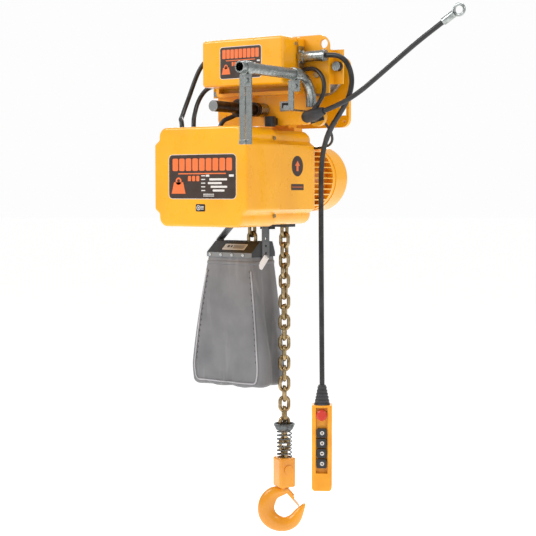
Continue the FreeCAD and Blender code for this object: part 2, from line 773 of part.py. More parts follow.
MOTOR_BACK = f"({PANEL_FRONT} + sheet_wall)"
node(cut(
    fuse(
        rod("Y", "travel_motor_radius", f"0 - {MOTOR_BACK} - travel_motor_length", f"0 - {MOTOR_BACK}",
            "0", "wheel_tread"),
        block("0 - travel_motor_radius", "travel_motor_radius", f"0 - {MOTOR_BACK} - 8", f"0 - {MOTOR_BACK}",
              "wheel_tread - 30", "wheel_tread + 30")),
    rod("Y", "travel_shaft + running_gap", f"0 - {MOTOR_BACK} - 40", f"0 - {MOTOR_BACK} + 1",
        "0", "wheel_tread"),
), "travel_motor")

# ---------------------------------------------------------------------------
# Support pipe, its clamps and the drop bars
# ---------------------------------------------------------------------------


def support_pipe():
    """A straight pipe that turns down through one elbow."""
    x, z = size("pipe_x"), size("pipe_z")
    near, leg, low, bend = size("pipe_near"), size("pipe_leg_y"), size("pipe_low"), size("pipe_bend")
    start, turn_in, turn_out = Vector(x, near, z), Vector(x, leg - bend, z), Vector(x, leg, z - bend)
    middle = Vector(x, leg - bend + bend * math.sin(math.pi / 4), z - bend + bend * math.cos(math.pi / 4))
    path = Part.Wire([
        Part.LineSegment(start, turn_in).toShape(),
        Part.Arc(turn_in, middle, turn_out).toShape(),
        Part.LineSegment(turn_out, Vector(x, leg, low)).toShape(),
    ])

    def swept(radius):
        return path.makePipeShell([Part.Wire([Part.makeCircle(radius, start, Y_AXIS)])], True, False)

    return shaped(swept(size("pipe_radius")).cut(swept(size("pipe_radius") - size("pipe_wall"))))


node(support_pipe(), "support_pipe")


def bar(x, low, high, y):
    """A flat upright bar, x is its left edge and y its front face."""
    return block(x, f"{x} + bar_width", y, f"{y} + bar_wall", low, high)


EAR_LOW = "(pipe_z - pipe_radius - clamp_width - 4)"
EAR_HIGH = "(pipe_z - pipe_radius - 2)"


def clamp(middle):
    """A band round the pipe and the square ear plate that hangs from it."""
    low, high = f"{middle} - clamp_width / 2", f"{middle} + clamp_width / 2"
    band = rod("Y", "pipe_radius + clamp_wall", low, high, "pipe_x", "pipe_z")
    neck = block("pipe_x - 9", "pipe_x + 9", f"{middle} - clamp_wall", middle, EAR_LOW, "pipe_z")
    pipe = rod("Y", "pipe_radius", f"{low} - 1", f"{high} + 1", "pipe_x", "pipe_z")
    ear = block("pipe_x - clamp_width / 2 + 6", "pipe_x + clamp_width / 2 + 6",
                f"{middle} - clamp_wall - 2 * bar_wall", f"{middle} - clamp_wall - bar_wall",
                EAR_LOW, EAR_HIGH)
    return [cut(fuse(band, neck), pipe), ear]


node(group(*clamp("clamp_front"), *clamp("clamp_back")), "pipe_clamps")

BAR_LEFT = "(pipe_x - bar_gap / 2 - bar_width)"
BAR_RIGHT = "(pipe_x + bar_gap / 2)"
FRONT_BARS_Y = "(clamp_front - clamp_wall - bar_wall)"
REAR_BAR_Y = "(clamp_back - clamp_wall - bar_wall)"
FOOT_LEFT = f"({BAR_LEFT} - bar_width)"
rear_bar = fuse(
    bar(BAR_LEFT, "foot_z", EAR_HIGH, REAR_BAR_Y),
    block(FOOT_LEFT, f"{BAR_LEFT} + bar_width", REAR_BAR_Y, f"{REAR_BAR_Y} + bar_wall",
          "foot_z", "foot_z + 12"),
    block(FOOT_LEFT, BAR_LEFT, REAR_BAR_Y, f"0 - {PLATE_OUTER}", "foot_z", "foot_z + bar_wall"),
    block(FOOT_LEFT, BAR_LEFT, f"0 - {PLATE_OUTER} - bar_wall", f"0 - {PLATE_OUTER}",
          "foot_z - 14", "foot_z + bar_wall"))
node(group(
    bar(BAR_LEFT, "bar_low", EAR_HIGH, FRONT_BARS_Y),
    bar(BAR_RIGHT, "bar_low", EAR_HIGH, FRONT_BARS_Y),
    rear_bar,
), "drop_bars")

# ---------------------------------------------------------------------------
# Socket, gland and cable fittings
# ---------------------------------------------------------------------------

SOCKET = ("socket_y", "socket_z")
node(cut(
    fuse(
        block("base_half", "base_half + 4", "socket_y - 13", "socket_y + 13",
              "socket_z - 27", "socket_z + 27"),
        rod("X", "socket_radius + 3", "base_half", "base_half + 14", *SOCKET),
        rod("X", "socket_radius", "base_half", "socket_end", *SOCKET),
        rod("X", "socket_radius + 1.5", "socket_end - 12", "socket_end - 4", *SOCKET)),
    rod("X", "cord_radius", "socket_end - 14", "socket_end + 1", *SOCKET),
), "pendant_socket")

gland_tilt = math.radians(size("gland_rise"))
gland_way = Vector(math.cos(gland_tilt), 0, math.sin(gland_tilt))
gland_start = Vector(size("gland_x"), size("gland_y"), size("gland_z"))
gland_mouth = gland_start + gland_way * size("gland_length")


def supply_gland():
    """The rubber boot of the supply inlet, on a boss that stands out of the near plate."""
    radius, length = size("gland_radius"), size("gland_length")
    body = Part.makeCylinder(radius, length * 0.55, gland_start, gland_way)
    taper = Part.makeCone(radius, size("supply_radius") + 3.5, length * 0.45,
                          gland_start + gland_way * length * 0.55, gland_way)
    dome = Part.makeSphere(radius, gland_start)
    neck = Part.makeCylinder(radius - 2, -size("gland_y") - worth(PLATE_OUTER) - 12,
                             gland_start + Vector(9, 0, 1), Y_AXIS)
    rubber = body.fuse([taper, dome, neck]).removeSplitter()
    boss = Part.makeCylinder(radius + 9, 12, Vector(gland_start.x + 9, -worth(PLATE_OUTER) - 12,
                                                    gland_start.z + 1), Y_AXIS)
    nib = lead_end_nib()
    return Part.makeCompound([rubber.fuse(nib).removeSplitter(), boss])


# the short lead leaves the box's end wall, passes outside the elbow and ends on the boot
LEAD_ROUTE = [
    (131, -118, 46), (150, -118, 50), (172, -121, 48), (193, -126, 36), (207, -131, 15),
    (211, -136, -9), (204, -139, -31), (191, -140, -48),
]


def lead_end_nib():
    """The small collar on the boot that the short lead runs into."""
    end, before = Vector(*LEAD_ROUTE[-1]), Vector(*LEAD_ROUTE[-2])
    way = (end - before).normalize()
    return Part.makeCylinder(size("lead_radius") + 2, 14, end, way)


node(shaped(supply_gland()), "supply_gland")
cord("jumper_lead", LEAD_ROUTE, size("lead_radius"))

SUPPLY_ROUTE = [
    tuple(gland_mouth), (258, -140, -47), (312, -140, -21), (368, -140, 18), (428, -140, 61),
    (488, -140, 103), (545, -140, 138),
]
cord("supply_cord", SUPPLY_ROUTE, size("supply_radius"))


def supply_hanger():
    """The saddle clamp and eye at the far end of the supply cord."""
    end, before = Vector(*SUPPLY_ROUTE[-1]), Vector(*SUPPLY_ROUTE[-2])
    way = (end - before).normalize()
    radius = size("supply_radius")
    sleeve = Part.makeCylinder(radius + 3, 34, end, way)
    eye_centre = end + way * 48
    eye = Part.makeTorus(13, 3.5, eye_centre, Y_AXIS)
    return shaped(sleeve.fuse(eye).removeSplitter())


node(supply_hanger(), "supply_hanger")

PENDANT_ROUTE = [
    (208, -123, 80), (236, -123, 80), (260, -121, 69), (275, -118, 45), (280, -115, 15), (273, -112, -16),
    (256, -109, -46), (233, -106, -74), (210, -104, -103), (193, -102, -137), (182, -101, -180),
    (178, -100, -255), (184, -100, -763),
]
cord("pendant_cord", PENDANT_ROUTE, size("cord_radius"))

# Cables from the control box to the hoist; their upper ends pass freely through the box's entries.
COVER_TOP_Z = worth("body_z + body_high")
CASE_SIDE_X = worth("body_x + body_half - case_inset")
ENTRY_Y = -worth("plate_inner + plate_wall + panel_wall + base_depth / 2")
INSIDE_X = 15 - size("base_half")
cord("cable_rear", [
    (INSIDE_X, ENTRY_Y, 95), (-150, ENTRY_Y, 95.5), (-173, -120, 89), (-191, -127, 65), (-200, -140, 28),
    (-203, -158, -12), (-200, -181, -44), (-189, -206, -66), (-177, -228, -74), (-161, -243, -81),
    (-158, -246, COVER_TOP_Z),
], size("cable_radius"))
cord("cable_front", [
    (INSIDE_X, ENTRY_Y, 20), (-148, ENTRY_Y, 19.5), (-172, -122, 11), (-184, -132, -9), (-183, -150, -33),
    (-172, -172, -54), (-157, -196, -68), (-145, -213, -80), (-143, -216, COVER_TOP_Z),
], size("cable_radius"))
UNDER_X = size("under_entry")
cord("cable_under", [
    (UNDER_X, ENTRY_Y, worth("panel_foot + 10")), (UNDER_X - 0.5, ENTRY_Y, -24), (-45, -121, -44),
    (-60, -128, -59),
    (-79, -142, -69), (-95, -158, -79), (-98, -162, COVER_TOP_Z),
], size("cable_radius"))
cord("cable_side", [
    (150, 0.5 - size("plate_inner"), -74), (151, -66, -74.5), (156, -46, -84), (161, -26, -104),
    (158, -8, -125),
    (142, 6, -140), (114, 16, -147), (CASE_SIDE_X, 20, -148),
], size("side_cable"))


def hexagon(across, low, high, x, z):
    """A hexagon head whose axis runs along Y."""
    head = doc.addObject("Part::Prism", "hexagon")
    head.Polygon = 6
    head.Placement = Placement(Vector(), TURN["Y"])
    bind(head, {"Circumradius": across, "Height": f"({high}) - ({low})",
                "Placement.Base.x": x, "Placement.Base.y": low, "Placement.Base.z": z})
    return head


def trolley_fasteners():
    """Bolts, screws and the plug on the trolley, with the stop under the shaft."""
    parts = []
    ear_z, ear_x = f"({EAR_LOW} + clamp_width / 2)", "(pipe_x + 6)"
    for middle in ("clamp_front", "clamp_back"):
        face = f"({middle} - clamp_wall - 2 * bar_wall)"
        parts.append(hexagon("6.5", f"{face} - 5", face, ear_x, ear_z))
        parts.append(rod("Y", "4.5", f"{middle}", f"{middle} + 8", ear_x, ear_z))
    tie = block(BAR_LEFT, f"{BAR_RIGHT} + bar_width", f"{FRONT_BARS_Y} - 2.5", FRONT_BARS_Y,
                "bar_low", "bar_low + 11")
    tie_bolt = hexagon("5", f"{FRONT_BARS_Y} - 6", f"{FRONT_BARS_Y} - 2.5", "pipe_x", "bar_low + 5.5")
    parts.append(fuse(tie, tie_bolt))
    for end in ("0 - cover_half - 4", "cover_half"):
        for height in ("cover_foot + 16", "cover_head - 16"):
            parts.append(rod("X", "4.5", end, f"{end} + 4", f"0 - {BOX_SEAM} - 8", height))
    parts.append(hexagon("8", f"0 - {PANEL_FRONT} - 6", f"0 - {PANEL_FRONT}",
                         "panel_left + 12", "panel_foot + 10"))
    parts.append(rod("Y", "8", f"0 - {PANEL_FRONT} - 5", f"0 - {PANEL_FRONT}", "base_half + 38", "plug_z"))
    parts.append(hexagon("8", PLATE_OUTER, f"{PLATE_OUTER} + 8", "plate_half - 14", "0 - 15"))
    parts.append(fuse(
        rod("Z", "14.5", "stop_low", "stop_low + 26", "33", f"0 - {PANEL_FRONT} - 12"),
        block("22", "44", f"0 - {PLATE_OUTER} - 8", f"0 - {PLATE_OUTER}", "stop_low + 4", "stop_low + 22")))
    parts.append(rod("Y", "12", f"0 - {PLATE_OUTER} + panel_return - panel_wall - 16",
                     f"0 - {PLATE_OUTER} + panel_return - panel_wall", "panel_right + tab_reach - 11",
                      "wheel_tread"))
    return group(*parts)


node(trolley_fasteners(), "trolley_fasteners")

# ---------------------------------------------------------------------------
# Pendant: built upright about its own cord axis, then turned and placed
# ---------------------------------------------------------------------------

PENDANT_PLACE = Placement(
    Vector(size("pendant_x"), size("pendant_y"), 0), Rotation(Z_AXIS, size("pendant_turn")))
CHANNEL_FLOOR = "(pendant_depth - channel_depth)"
STOP_Z = "(pendant_top - 25)"
FIRST_BUTTON_Z = "(pendant_top - 71)"


def in_place(thing, name):
    """Put a pendant piece on the cord and keep it."""
    thing.Placement = PENDANT_PLACE
    bind(thing, {"Placement.Base.x": "pendant_x", "Placement.Base.y": "pendant_y"})
    return node(thing, name)


def pendant_shell(front):
    """One moulded half of the pendant case; the front half has the button channel."""
    body = new_body()
    outline = sketch_on(body, "XZ_Plane", "0" if front else "0 - pendant_depth")
    draw(outline, rectangle("0 - pendant_half", "pendant_half", "pendant_low", "pendant_top"))
    pad(body, outline, "pendant_depth")
    middle = worth("(pendant_low + pendant_top) / 2")
    round_body(body, "9", lambda edge: along(edge, Y_AXIS) and edge.CenterOfMass.z < middle)
    outer = size("pendant_depth") - 0.5
    round_body(body, "5", lambda edge: abs(edge.CenterOfMass.y) > outer
               and edge.CenterOfMass.z < size("pendant_top") - 0.5)
    inside = sketch_on(body, "XZ_Plane", "0" if front else "0 - pendant_depth + sheet_wall")
    draw(inside, rectangle("0 - pendant_half + sheet_wall", "pendant_half - sheet_wall",
                           "pendant_low + sheet_wall + 4", "pendant_top - sheet_wall"))
    depth = f"{CHANNEL_FLOOR} - sheet_wall" if front else "pendant_depth - sheet_wall"
    pocket(body, inside, depth, True)
    if front:
        channel = sketch_on(body, "XZ_Plane", CHANNEL_FLOOR)
        draw(channel, rectangle("0 - button_wide / 2 - 2", "button_wide / 2 + 2",
                                f"{FIRST_BUTTON_Z} - 3 * button_pitch - 26", "pendant_top - 6"))
        pocket(body, channel, "channel_depth + 1", True)
        holes = sketch_on(body, "XZ_Plane", "0")
        for i in range(4):
            dot(holes, "button_stem + 0.3", "0", f"{FIRST_BUTTON_Z} - {i} * button_pitch")
        dot(holes, "button_stem + 0.3", "0", STOP_Z)
        pocket(body, holes, "pendant_depth", True)
    else:
        mouth = sketch_on(body, "XY_Plane", "pendant_top")
        dot(mouth, "cord_radius + 1", "0", "0")
        pocket(body, mouth, "sheet_wall + 1")
    return body


in_place(pendant_shell(True), "pendant_front")
in_place(pendant_shell(False), "pendant_back")


def push_button(number):
    """A square cap on a round stem."""
    z = f"({FIRST_BUTTON_Z} - {number} * button_pitch)"
    floor = f"(0 - {CHANNEL_FLOOR} - button_travel - 0.6)"
    cap = block("0 - button_wide / 2", "button_wide / 2", f"{floor} - button_cap", floor,
                f"{z} - button_high / 2", f"{z} + button_high / 2")
    cap = soften(cap, "4", lambda edge: along(edge, Y_AXIS))
    stem = rod("Y", "button_stem", f"{floor} - 1", f"0 - {CHANNEL_FLOOR} + sheet_wall + 2", "0", z)
    return in_place(fuse(cap, stem), ("button_raise", "button_lower", "button_left", "button_right")[number])


for number in range(4):
    push_button(number)

stop_back = f"(0 - {CHANNEL_FLOOR} - stop_travel - 0.6)"
in_place(fuse(
    rod("Y", "14", f"{stop_back} - 6", stop_back, "0", STOP_Z),
    cone("Y", "10.5", "14", f"{stop_back} - 9", f"{stop_back} - 6", "0", STOP_Z),
    rod("Y", "button_stem", f"{stop_back} - 1", f"0 - {CHANNEL_FLOOR} + sheet_wall + 2", "0", STOP_Z),
), "button_emergency_stop")


def pendant_boot():
    """A ribbed rubber boot that widens from the cord to the case."""
    top, low = size("boot_top"), size("pendant_top")
    ribs = 6
    step = (top - low) / (2 * ribs)
    solids = []
    for i in range(2 * ribs):
        share = (i + 0.5) / (2 * ribs)
        radius = size("cord_radius") + 3 + 10 * (1 - share)
        radius += 1.2 if i % 2 == 0 else 0
        solids.append(Part.makeCylinder(radius, step + 0.01, Vector(0, 0, low + i * step), Z_AXIS))
    return shaped(solids[0].fuse(solids[1:]).removeSplitter(), PENDANT_PLACE)


node(pendant_boot(), "pendant_boot")

# ---------------------------------------------------------------------------
# Hoist body: yoke, gear case, cover, motor and fan cover
# ---------------------------------------------------------------------------

BODY_TOP = "(body_z + body_high)"
BODY_LOW = "(body_z - body_high)"
CASE_TOP = f"({BODY_TOP} - case_inset)"
CASE_LOW = f"({BODY_LOW} + case_inset)"

node(cut(
    fuse(
        rod("Y", "yoke_radius", "0 - yoke_half", "yoke_half", "0", SHAFT_Z),
        block("0 - yoke_radius + 4", "yoke_radius - 4", "0 - yoke_half", "yoke_half",
              CASE_TOP, SHAFT_Z),
        block("0 - yoke_radius - 14", "yoke_radius + 14", "0 - yoke_half", "yoke_half",
              CASE_TOP, f"{CASE_TOP} + 9")),
    rod("Y", SHAFT_FIT, "0 - yoke_half - 1", "yoke_half + 1", "0", SHAFT_Z),
), "suspension_yoke")


def body_outline(inset):
    """The hoist's cross-section: a full-width band with narrower shoulders above and below."""
    half, step = f"(body_half - {inset})", "shoulder_step"
    band, high = "shoulder_high", f"(body_high - {inset})"
    ramp = "(shoulder_high + 11)"
    right = [(half, f"0 - {band}"), (half, band), (f"({half} - {step})", ramp), (f"({half} - {step})", high)]
    points = [(f"({half} - {step})", f"0 - {high}"), (f"({half} - {step})", f"0 - {ramp}")] + right + [
        (f"0 - ({half} - {step})", high), (f"0 - ({half} - {step})", ramp), (f"0 - {half}", band),
        (f"0 - {half}", f"0 - {band}"), (f"0 - ({half} - {step})", f"0 - {ramp}"),
        (f"0 - ({half} - {step})", f"0 - {high}")]
    return [(f"body_x + {a}", f"body_z + {b}") for a, b in points]


def control_cover():
    """The deep front cover."""
    body = new_body()
    outline = sketch_on(body, "XZ_Plane", "0 - seam_y")
    draw(outline, body_outline("0"))
    pad(body, outline, "seam_y - front_y")
    crown = size("body_high") - 1
    round_body(body, "body_corner", lambda edge: along(edge, Y_AXIS)
               and abs(edge.CenterOfMass.z - size("body_z")) > crown)
    band = size("body_half") - 1
    round_body(body, "10", lambda edge: along(edge, Y_AXIS)
               and abs(edge.CenterOfMass.x - size("body_x")) > band)
    waist = worth("body_half - shoulder_step")
    ramp = worth("shoulder_high + 11")
    round_body(body, "9", lambda edge: along(edge, Y_AXIS)
               and abs(abs(edge.CenterOfMass.x - size("body_x")) - waist) < 0.5
               and abs(abs(edge.CenterOfMass.z - size("body_z")) - ramp) < 0.5)
    front = size("front_y") + 0.5
    round_body(body, "7", lambda edge: edge.CenterOfMass.y < front)
    inside = sketch_on(body, "XZ_Plane", "0 - seam_y")
    draw(inside, rectangle("body_x - body_half + shoulder_step + 12",
                           "body_x + body_half - shoulder_step - 12",
                           "body_z - body_high + 12", "body_z + body_high - 12"))
    pocket(body, inside, "seam_y - front_y - 14", True)
    return body


node(control_cover(), "control_cover")

SHEAVE_R = size("chain_pitch") * 2 * size("sheave_pockets") / (2 * math.pi)
SHEAVE_X = -SHEAVE_R
SHEAVE_Z = size("body_z")
COUNTER_DROP = size("hoist_module") * (size("hoist_wheel") + size("hoist_pinion")) / 2
COUNTER_Z = SHEAVE_Z - COUNTER_DROP
LINK_REACH = size("chain_pitch") / 2 + size("chain_wire")
LINK_HALF = size("chain_inside") / 2 + size("chain_wire")
SLACK_X = 2 * SHEAVE_X


def gear_case():
    """The cast case that carries the sheave, the gears and the yoke."""
    body = new_body()
    outline = sketch_on(body, "XZ_Plane", "0 - case_back")
    draw(outline, body_outline("case_inset"))
    pad(body, outline, "case_back - seam_y")
    crown = size("body_high") - size("case_inset") - 1
    round_body(body, "body_corner", lambda edge: along(edge, Y_AXIS)
               and abs(edge.CenterOfMass.z - size("body_z")) > crown)
    band = size("body_half") - size("case_inset") - 1
    back = size("case_back") - 0.5
    round_body(body, "case_corner - 20", lambda edge: edge.CenterOfMass.y > back)
    inside = sketch_on(body, "XZ_Plane", "0 - seam_y - case_wall")
    wall_x = "(shoulder_step + case_inset + case_wall)"
    wall_z = "(case_inset + case_wall)"
    draw(inside, rectangle(
        f"body_x - body_half + {wall_x}", f"body_x + body_half - {wall_x}",
        f"body_z - body_high + {wall_z} + 8", f"body_z + body_high - {wall_z}"))
    pocket(body, inside, "case_back - seam_y - 2 * case_wall")
    return body


case = gear_case()
doc.recompute()
case_shape = case.Shape.copy()
# an inner web carries the sheave's hub, and the chain leaves through a slot in the floor
web = Part.makeBox(230, size("case_wall"), 215, Vector(size("body_x") - 115, -38, size("body_z") - 107))
web = web.common(Part.makeBox(400, 400, 400, Vector(-260, -200, worth(CASE_LOW) + 1)))
case_shape = case_shape.fuse(web)
hub_bore = y_rod(22, -200, 30, SHEAVE_X, SHEAVE_Z).common(Part.makeBox(400, 60, 400, Vector(-260, -60, -420)))
case_shape = case_shape.cut([
    hub_bore,
    y_rod(size("rotor_shaft") + 6, 20, 60, SHEAVE_X, SHEAVE_Z),
    y_rod(size("rotor_shaft") + size("running_gap"), worth("seam_y") + 2, worth("seam_y") + 10,
          SHEAVE_X, SHEAVE_Z),
    y_rod(8 + size("running_gap"), worth("seam_y") + 2, worth("seam_y") + 10, SHEAVE_X, COUNTER_Z),
    y_rod(8 + size("running_gap"), -40, -28, SHEAVE_X, COUNTER_Z),
    Part.makeBox(-SLACK_X + 2 * LINK_HALF + 12, 2 * LINK_HALF + 12, 60,
                 Vector(SLACK_X - LINK_HALF - 6, -LINK_HALF - 6, worth(CASE_LOW) - 30)),
])
node(shaped(case_shape.removeSplitter()), "gear_case")


def motor_frame():
    """The finned motor housing: a tube with fins that run front to back."""
    y0, y1 = size("case_back"), size("motor_back")
    core = y_rod(size("motor_radius"), y0, y1, SHEAVE_X, SHEAVE_Z)
    reach, thick, pitch = size("fin_radius"), 3.5, 15
    fins = []
    for i in range(-5, 6):
        z = SHEAVE_Z + i * pitch - thick / 2
        fins.append(Part.makeBox(2 * reach, y1 - y0 - 30, thick, Vector(SHEAVE_X - reach, y0 + 15, z)))
    envelope = y_rod(reach, y0, y1, SHEAVE_X, SHEAVE_Z)
    fins = [fin.common(envelope) for fin in fins]
    flanges = [y_rod(reach, y0, y0 + 15, SHEAVE_X, SHEAVE_Z), y_rod(reach, y1 - 15, y1, SHEAVE_X, SHEAVE_Z)]
    solid = core.fuse(fins + flanges)
    return shaped(solid.cut([
        y_rod(STATOR_R, y0 + 22, y1 + 1, SHEAVE_X, SHEAVE_Z),
        y_rod(size("rotor_shaft") + 4, y0 - 1, y0 + 30, SHEAVE_X, SHEAVE_Z),
    ]).removeSplitter())


STATOR_R = size("motor_radius") - 6
ROTOR_R = 38
node(motor_frame(), "motor_frame")
node(shaped(y_rod(STATOR_R, size("case_back") + 30, size("motor_back") - 34, SHEAVE_X, SHEAVE_Z).cut(
    y_rod(ROTOR_R + 0.6, size("case_back"), size("motor_back"), SHEAVE_X, SHEAVE_Z))), "motor_stator")


def fan_cover():
    """A round cover with a rounded back and air slots round its face."""
    y0, y1, radius = size("motor_back"), size("fan_cover_back"), size("fan_cover_radius")
    wall = size("sheet_wall")
    shell = y_rod(radius, y0, y1, SHEAVE_X, SHEAVE_Z)
    rim = [edge for edge in shell.Edges if abs(edge.CenterOfMass.y - y1) < 0.1]
    shell = shell.makeFillet(16, rim)
    shell = shell.cut(y_rod(radius - wall, y0 - 1, y1 - 16, SHEAVE_X, SHEAVE_Z))
    slots = []
    for i in range(12):
        slot = Part.makeBox(radius * 0.45, 60, 7, Vector(radius * 0.3, y1 - 30, -3.5))
        slot.rotate(Vector(), Y_AXIS, 30 * i)
        slot.translate(Vector(SHEAVE_X, 0, SHEAVE_Z))
        slots.append(slot)
    return shaped(shell.cut(slots))


node(fan_cover(), "fan_cover")

# ---------------------------------------------------------------------------
# Hoist gearing: rotor pinion, counter gear, counter pinion, load gear on the sheave's hub
# ---------------------------------------------------------------------------

GEAR_W = size("gear_width")
FIRST_Y, SECOND_Y = -96, -68
WHEEL_T, PINION_T, MODULE = size("hoist_wheel"), size("hoist_pinion"), size("hoist_module")
DOWN = -math.pi / 2


def load_sheave():
    """The pocketed sheave: two toothed discs with a groove between them, and a hub to the front."""
    half_groove, rim_out = size("chain_wire") / 2 + 1.4, LINK_HALF + 6
    floor = SHEAVE_R - size("chain_wire") / 2 - 0.9
    groove = SHEAVE_R - LINK_HALF - 1.5
    core = y_rod(groove, -half_groove - 1, half_groove + 1, 0, 0)
    parts = []
    for y in (-rim_out, half_groove):
        parts.append(y_rod(floor, y, y + rim_out - half_groove, 0, 0))
        rim = y if y < 0 else rim_out - 3.5
        parts.append(y_rod(SHEAVE_R + 4, rim, rim + 3.5, 0, 0))
        for i in range(int(size("sheave_pockets"))):
            tooth = Part.makePolygon([Vector(floor - 4, 0, -5), Vector(SHEAVE_R + 0.5, 0, -1.8),
                                      Vector(SHEAVE_R + 0.5, 0, 1.8), Vector(floor - 4, 0, 5),
                                      Vector(floor - 4, 0, -5)])
            tooth = Part.Face(tooth).extrude(Vector(0, 5, 0))
            tooth.translate(Vector(0, y + (rim_out - half_groove - 5 if y < 0 else 0), 0))
            tooth.rotate(Vector(), Y_AXIS, 360 * i / size("sheave_pockets"))
            parts.append(tooth)
    parts.append(y_rod(20, SECOND_Y, -rim_out + 1, 0, 0))
    solid = core.fuse(parts).cut(y_rod(size("rotor_shaft") + 3, -200, 100, 0, 0))
    solid.translate(Vector(SHEAVE_X, 0, SHEAVE_Z))
    return shaped(solid.removeSplitter())


node(load_sheave(), "load_sheave")

half_wheel = math.pi / WHEEL_T
load_gear = gear_solid(WHEEL_T, MODULE, DOWN, GEAR_W, SHEAVE_X, SECOND_Y, SHEAVE_Z)
node(shaped(load_gear.cut(y_rod(20, -200, 100, SHEAVE_X, SHEAVE_Z))), "load_gear")

counter = gear_solid(WHEEL_T, MODULE, half_wheel - DOWN, GEAR_W, SHEAVE_X, FIRST_Y, COUNTER_Z)
counter_pinion = gear_solid(PINION_T, MODULE, -DOWN + math.pi / PINION_T, GEAR_W,
                            SHEAVE_X, SECOND_Y, COUNTER_Z)
node(shaped(counter.fuse([
    counter_pinion,
    y_rod(11, FIRST_Y + GEAR_W - 1, SECOND_Y + 1, SHEAVE_X, COUNTER_Z),
    y_rod(8, worth("seam_y") + 3, -30, SHEAVE_X, COUNTER_Z),
]).removeSplitter()), "counter_gear")

rotor_pinion = gear_solid(PINION_T, MODULE, DOWN, GEAR_W, SHEAVE_X, FIRST_Y, SHEAVE_Z)
node(shaped(rotor_pinion.fuse([
    y_rod(size("rotor_shaft"), worth("seam_y") + 3, size("fan_cover_back") - 30, SHEAVE_X, SHEAVE_Z),
    y_rod(ROTOR_R, size("case_back") + 34, size("motor_back") - 38, SHEAVE_X, SHEAVE_Z),
]).removeSplitter()), "rotor_shaft")


def cooling_fan():
    """A hub and radial blades on the tail of the rotor shaft."""
    y0, y1 = size("motor_back") + 12, size("fan_cover_back") - 34
    blades = []
    for i in range(9):
        blade = Part.makeBox(size("fan_cover_radius") - 33, y1 - y0 - 6, 2.5, Vector(18, y0 + 3, -1.2))
        blade.rotate(Vector(), Y_AXIS, 40 * i)
        blades.append(blade)
    solid = y_rod(20, y0, y1, 0, 0).fuse(blades + [y_rod(size("fan_cover_radius") - 16, y0, y0 + 3.5, 0, 0)])
    solid = solid.cut(y_rod(size("rotor_shaft"), 0, 400, 0, 0))
    solid.translate(Vector(SHEAVE_X, 0, SHEAVE_Z))
    return shaped(solid.removeSplitter())


node(cooling_fan(), "cooling_fan")

# ---------------------------------------------------------------------------
# Chains: upright links alternate; the hanging strand twists slowly towards the hook block
# ---------------------------------------------------------------------------

PITCH = size("chain_pitch")
STRAIGHT_LINKS = 6


def strand(x, count, twist):
    """Links hanging from the sheave's height at x, with the twist spread over the lower ones."""
    links = []
    for i in range(count):
        turn = 90 * (i % 2) + twist * max(0, i - STRAIGHT_LINKS) / max(1, count - 1 - STRAIGHT_LINKS)
        links.append(link_solid(Vector(x, 0, SHEAVE_Z - PITCH * i), turn))
    return Part.makeCompound(links)


LOAD_COUNT = int(size("load_links"))
node(shaped(strand(0, LOAD_COUNT, size("chain_twist"))), "load_chain")
node(shaped(strand(SLACK_X, int(size("slack_links")), 0)), "slack_chain")


def chain_guide():
    """The guide under the case: a block with a round passage for each strand and two limit pads."""
    low, high = worth(BODY_LOW) - 5, worth(CASE_LOW) + 3
    x0, x1 = SLACK_X - LINK_HALF - 4.5, LINK_HALF + 4.5
    half = LINK_HALF + 4.5
    solid = Part.makeBox(x1 - x0, 2 * half, high - low, Vector(x0, -half, low))
    passages = [Part.makeCylinder(LINK_HALF + 2, 80, Vector(x, 0, low - 20), Z_AXIS) for x in (0, SLACK_X)]
    pads = [Part.makeCylinder(9, 8, Vector(x, 0, low - 7), Z_AXIS) for x in (SHEAVE_X - 16, SHEAVE_X + 12)]
    return shaped(solid.fuse(pads).cut(passages).removeSplitter())


node(chain_guide(), "chain_guide")

# ---------------------------------------------------------------------------
# Chain bag, its frame and its straps
# ---------------------------------------------------------------------------

BAG = {name: size("bag_" + name)
       for name in ("left", "right", "near", "far", "mouth", "floor", "ridge", "spread", "spread_left")}
RIM_HIGH = 12
RIDGE_NEAR, RIDGE_FAR = -30, 30


def prism(points, axis, start, length):
    """Extrude an outline given in the plane across an axis (X: y,z; Y: x,z)."""
    if axis == "X":
        corners = [Vector(start, a, b) for a, b in points]
        way = Vector(length, 0, 0)
    else:
        corners = [Vector(a, start, b) for a, b in points]
        way = Vector(0, length, 0)
    return Part.Face(Part.makePolygon(corners + corners[:1])).extrude(way)


def bag_frame():
    """A hopper of folded sheet: sloping front and back plates, triangular ends and a rim."""
    left, right, near, far = BAG["left"], BAG["right"], BAG["near"], BAG["far"]
    rim_top, ridge = BAG["mouth"] + RIM_HIGH, BAG["ridge"]
    outer = [(near, BAG["mouth"]), (near, rim_top), (RIDGE_NEAR, ridge), (RIDGE_FAR, ridge), (far, rim_top),
             (far, BAG["mouth"])]
    wall = size("frame_wall")
    inner = [(near + wall, BAG["mouth"] - 1), (near + wall, rim_top - 1), (RIDGE_NEAR + wall, ridge + 1),
             (RIDGE_FAR - wall, ridge + 1), (far - wall, rim_top - 1), (far - wall, BAG["mouth"] - 1)]
    solid = prism(outer, "X", left, right - left)
    solid = solid.cut(prism(inner, "X", left + wall, right - left - 2 * wall))
    return shaped(solid)


node(bag_frame(), "bag_frame")

STRAP_HALF = 16.5
STRAP_WALL = 3


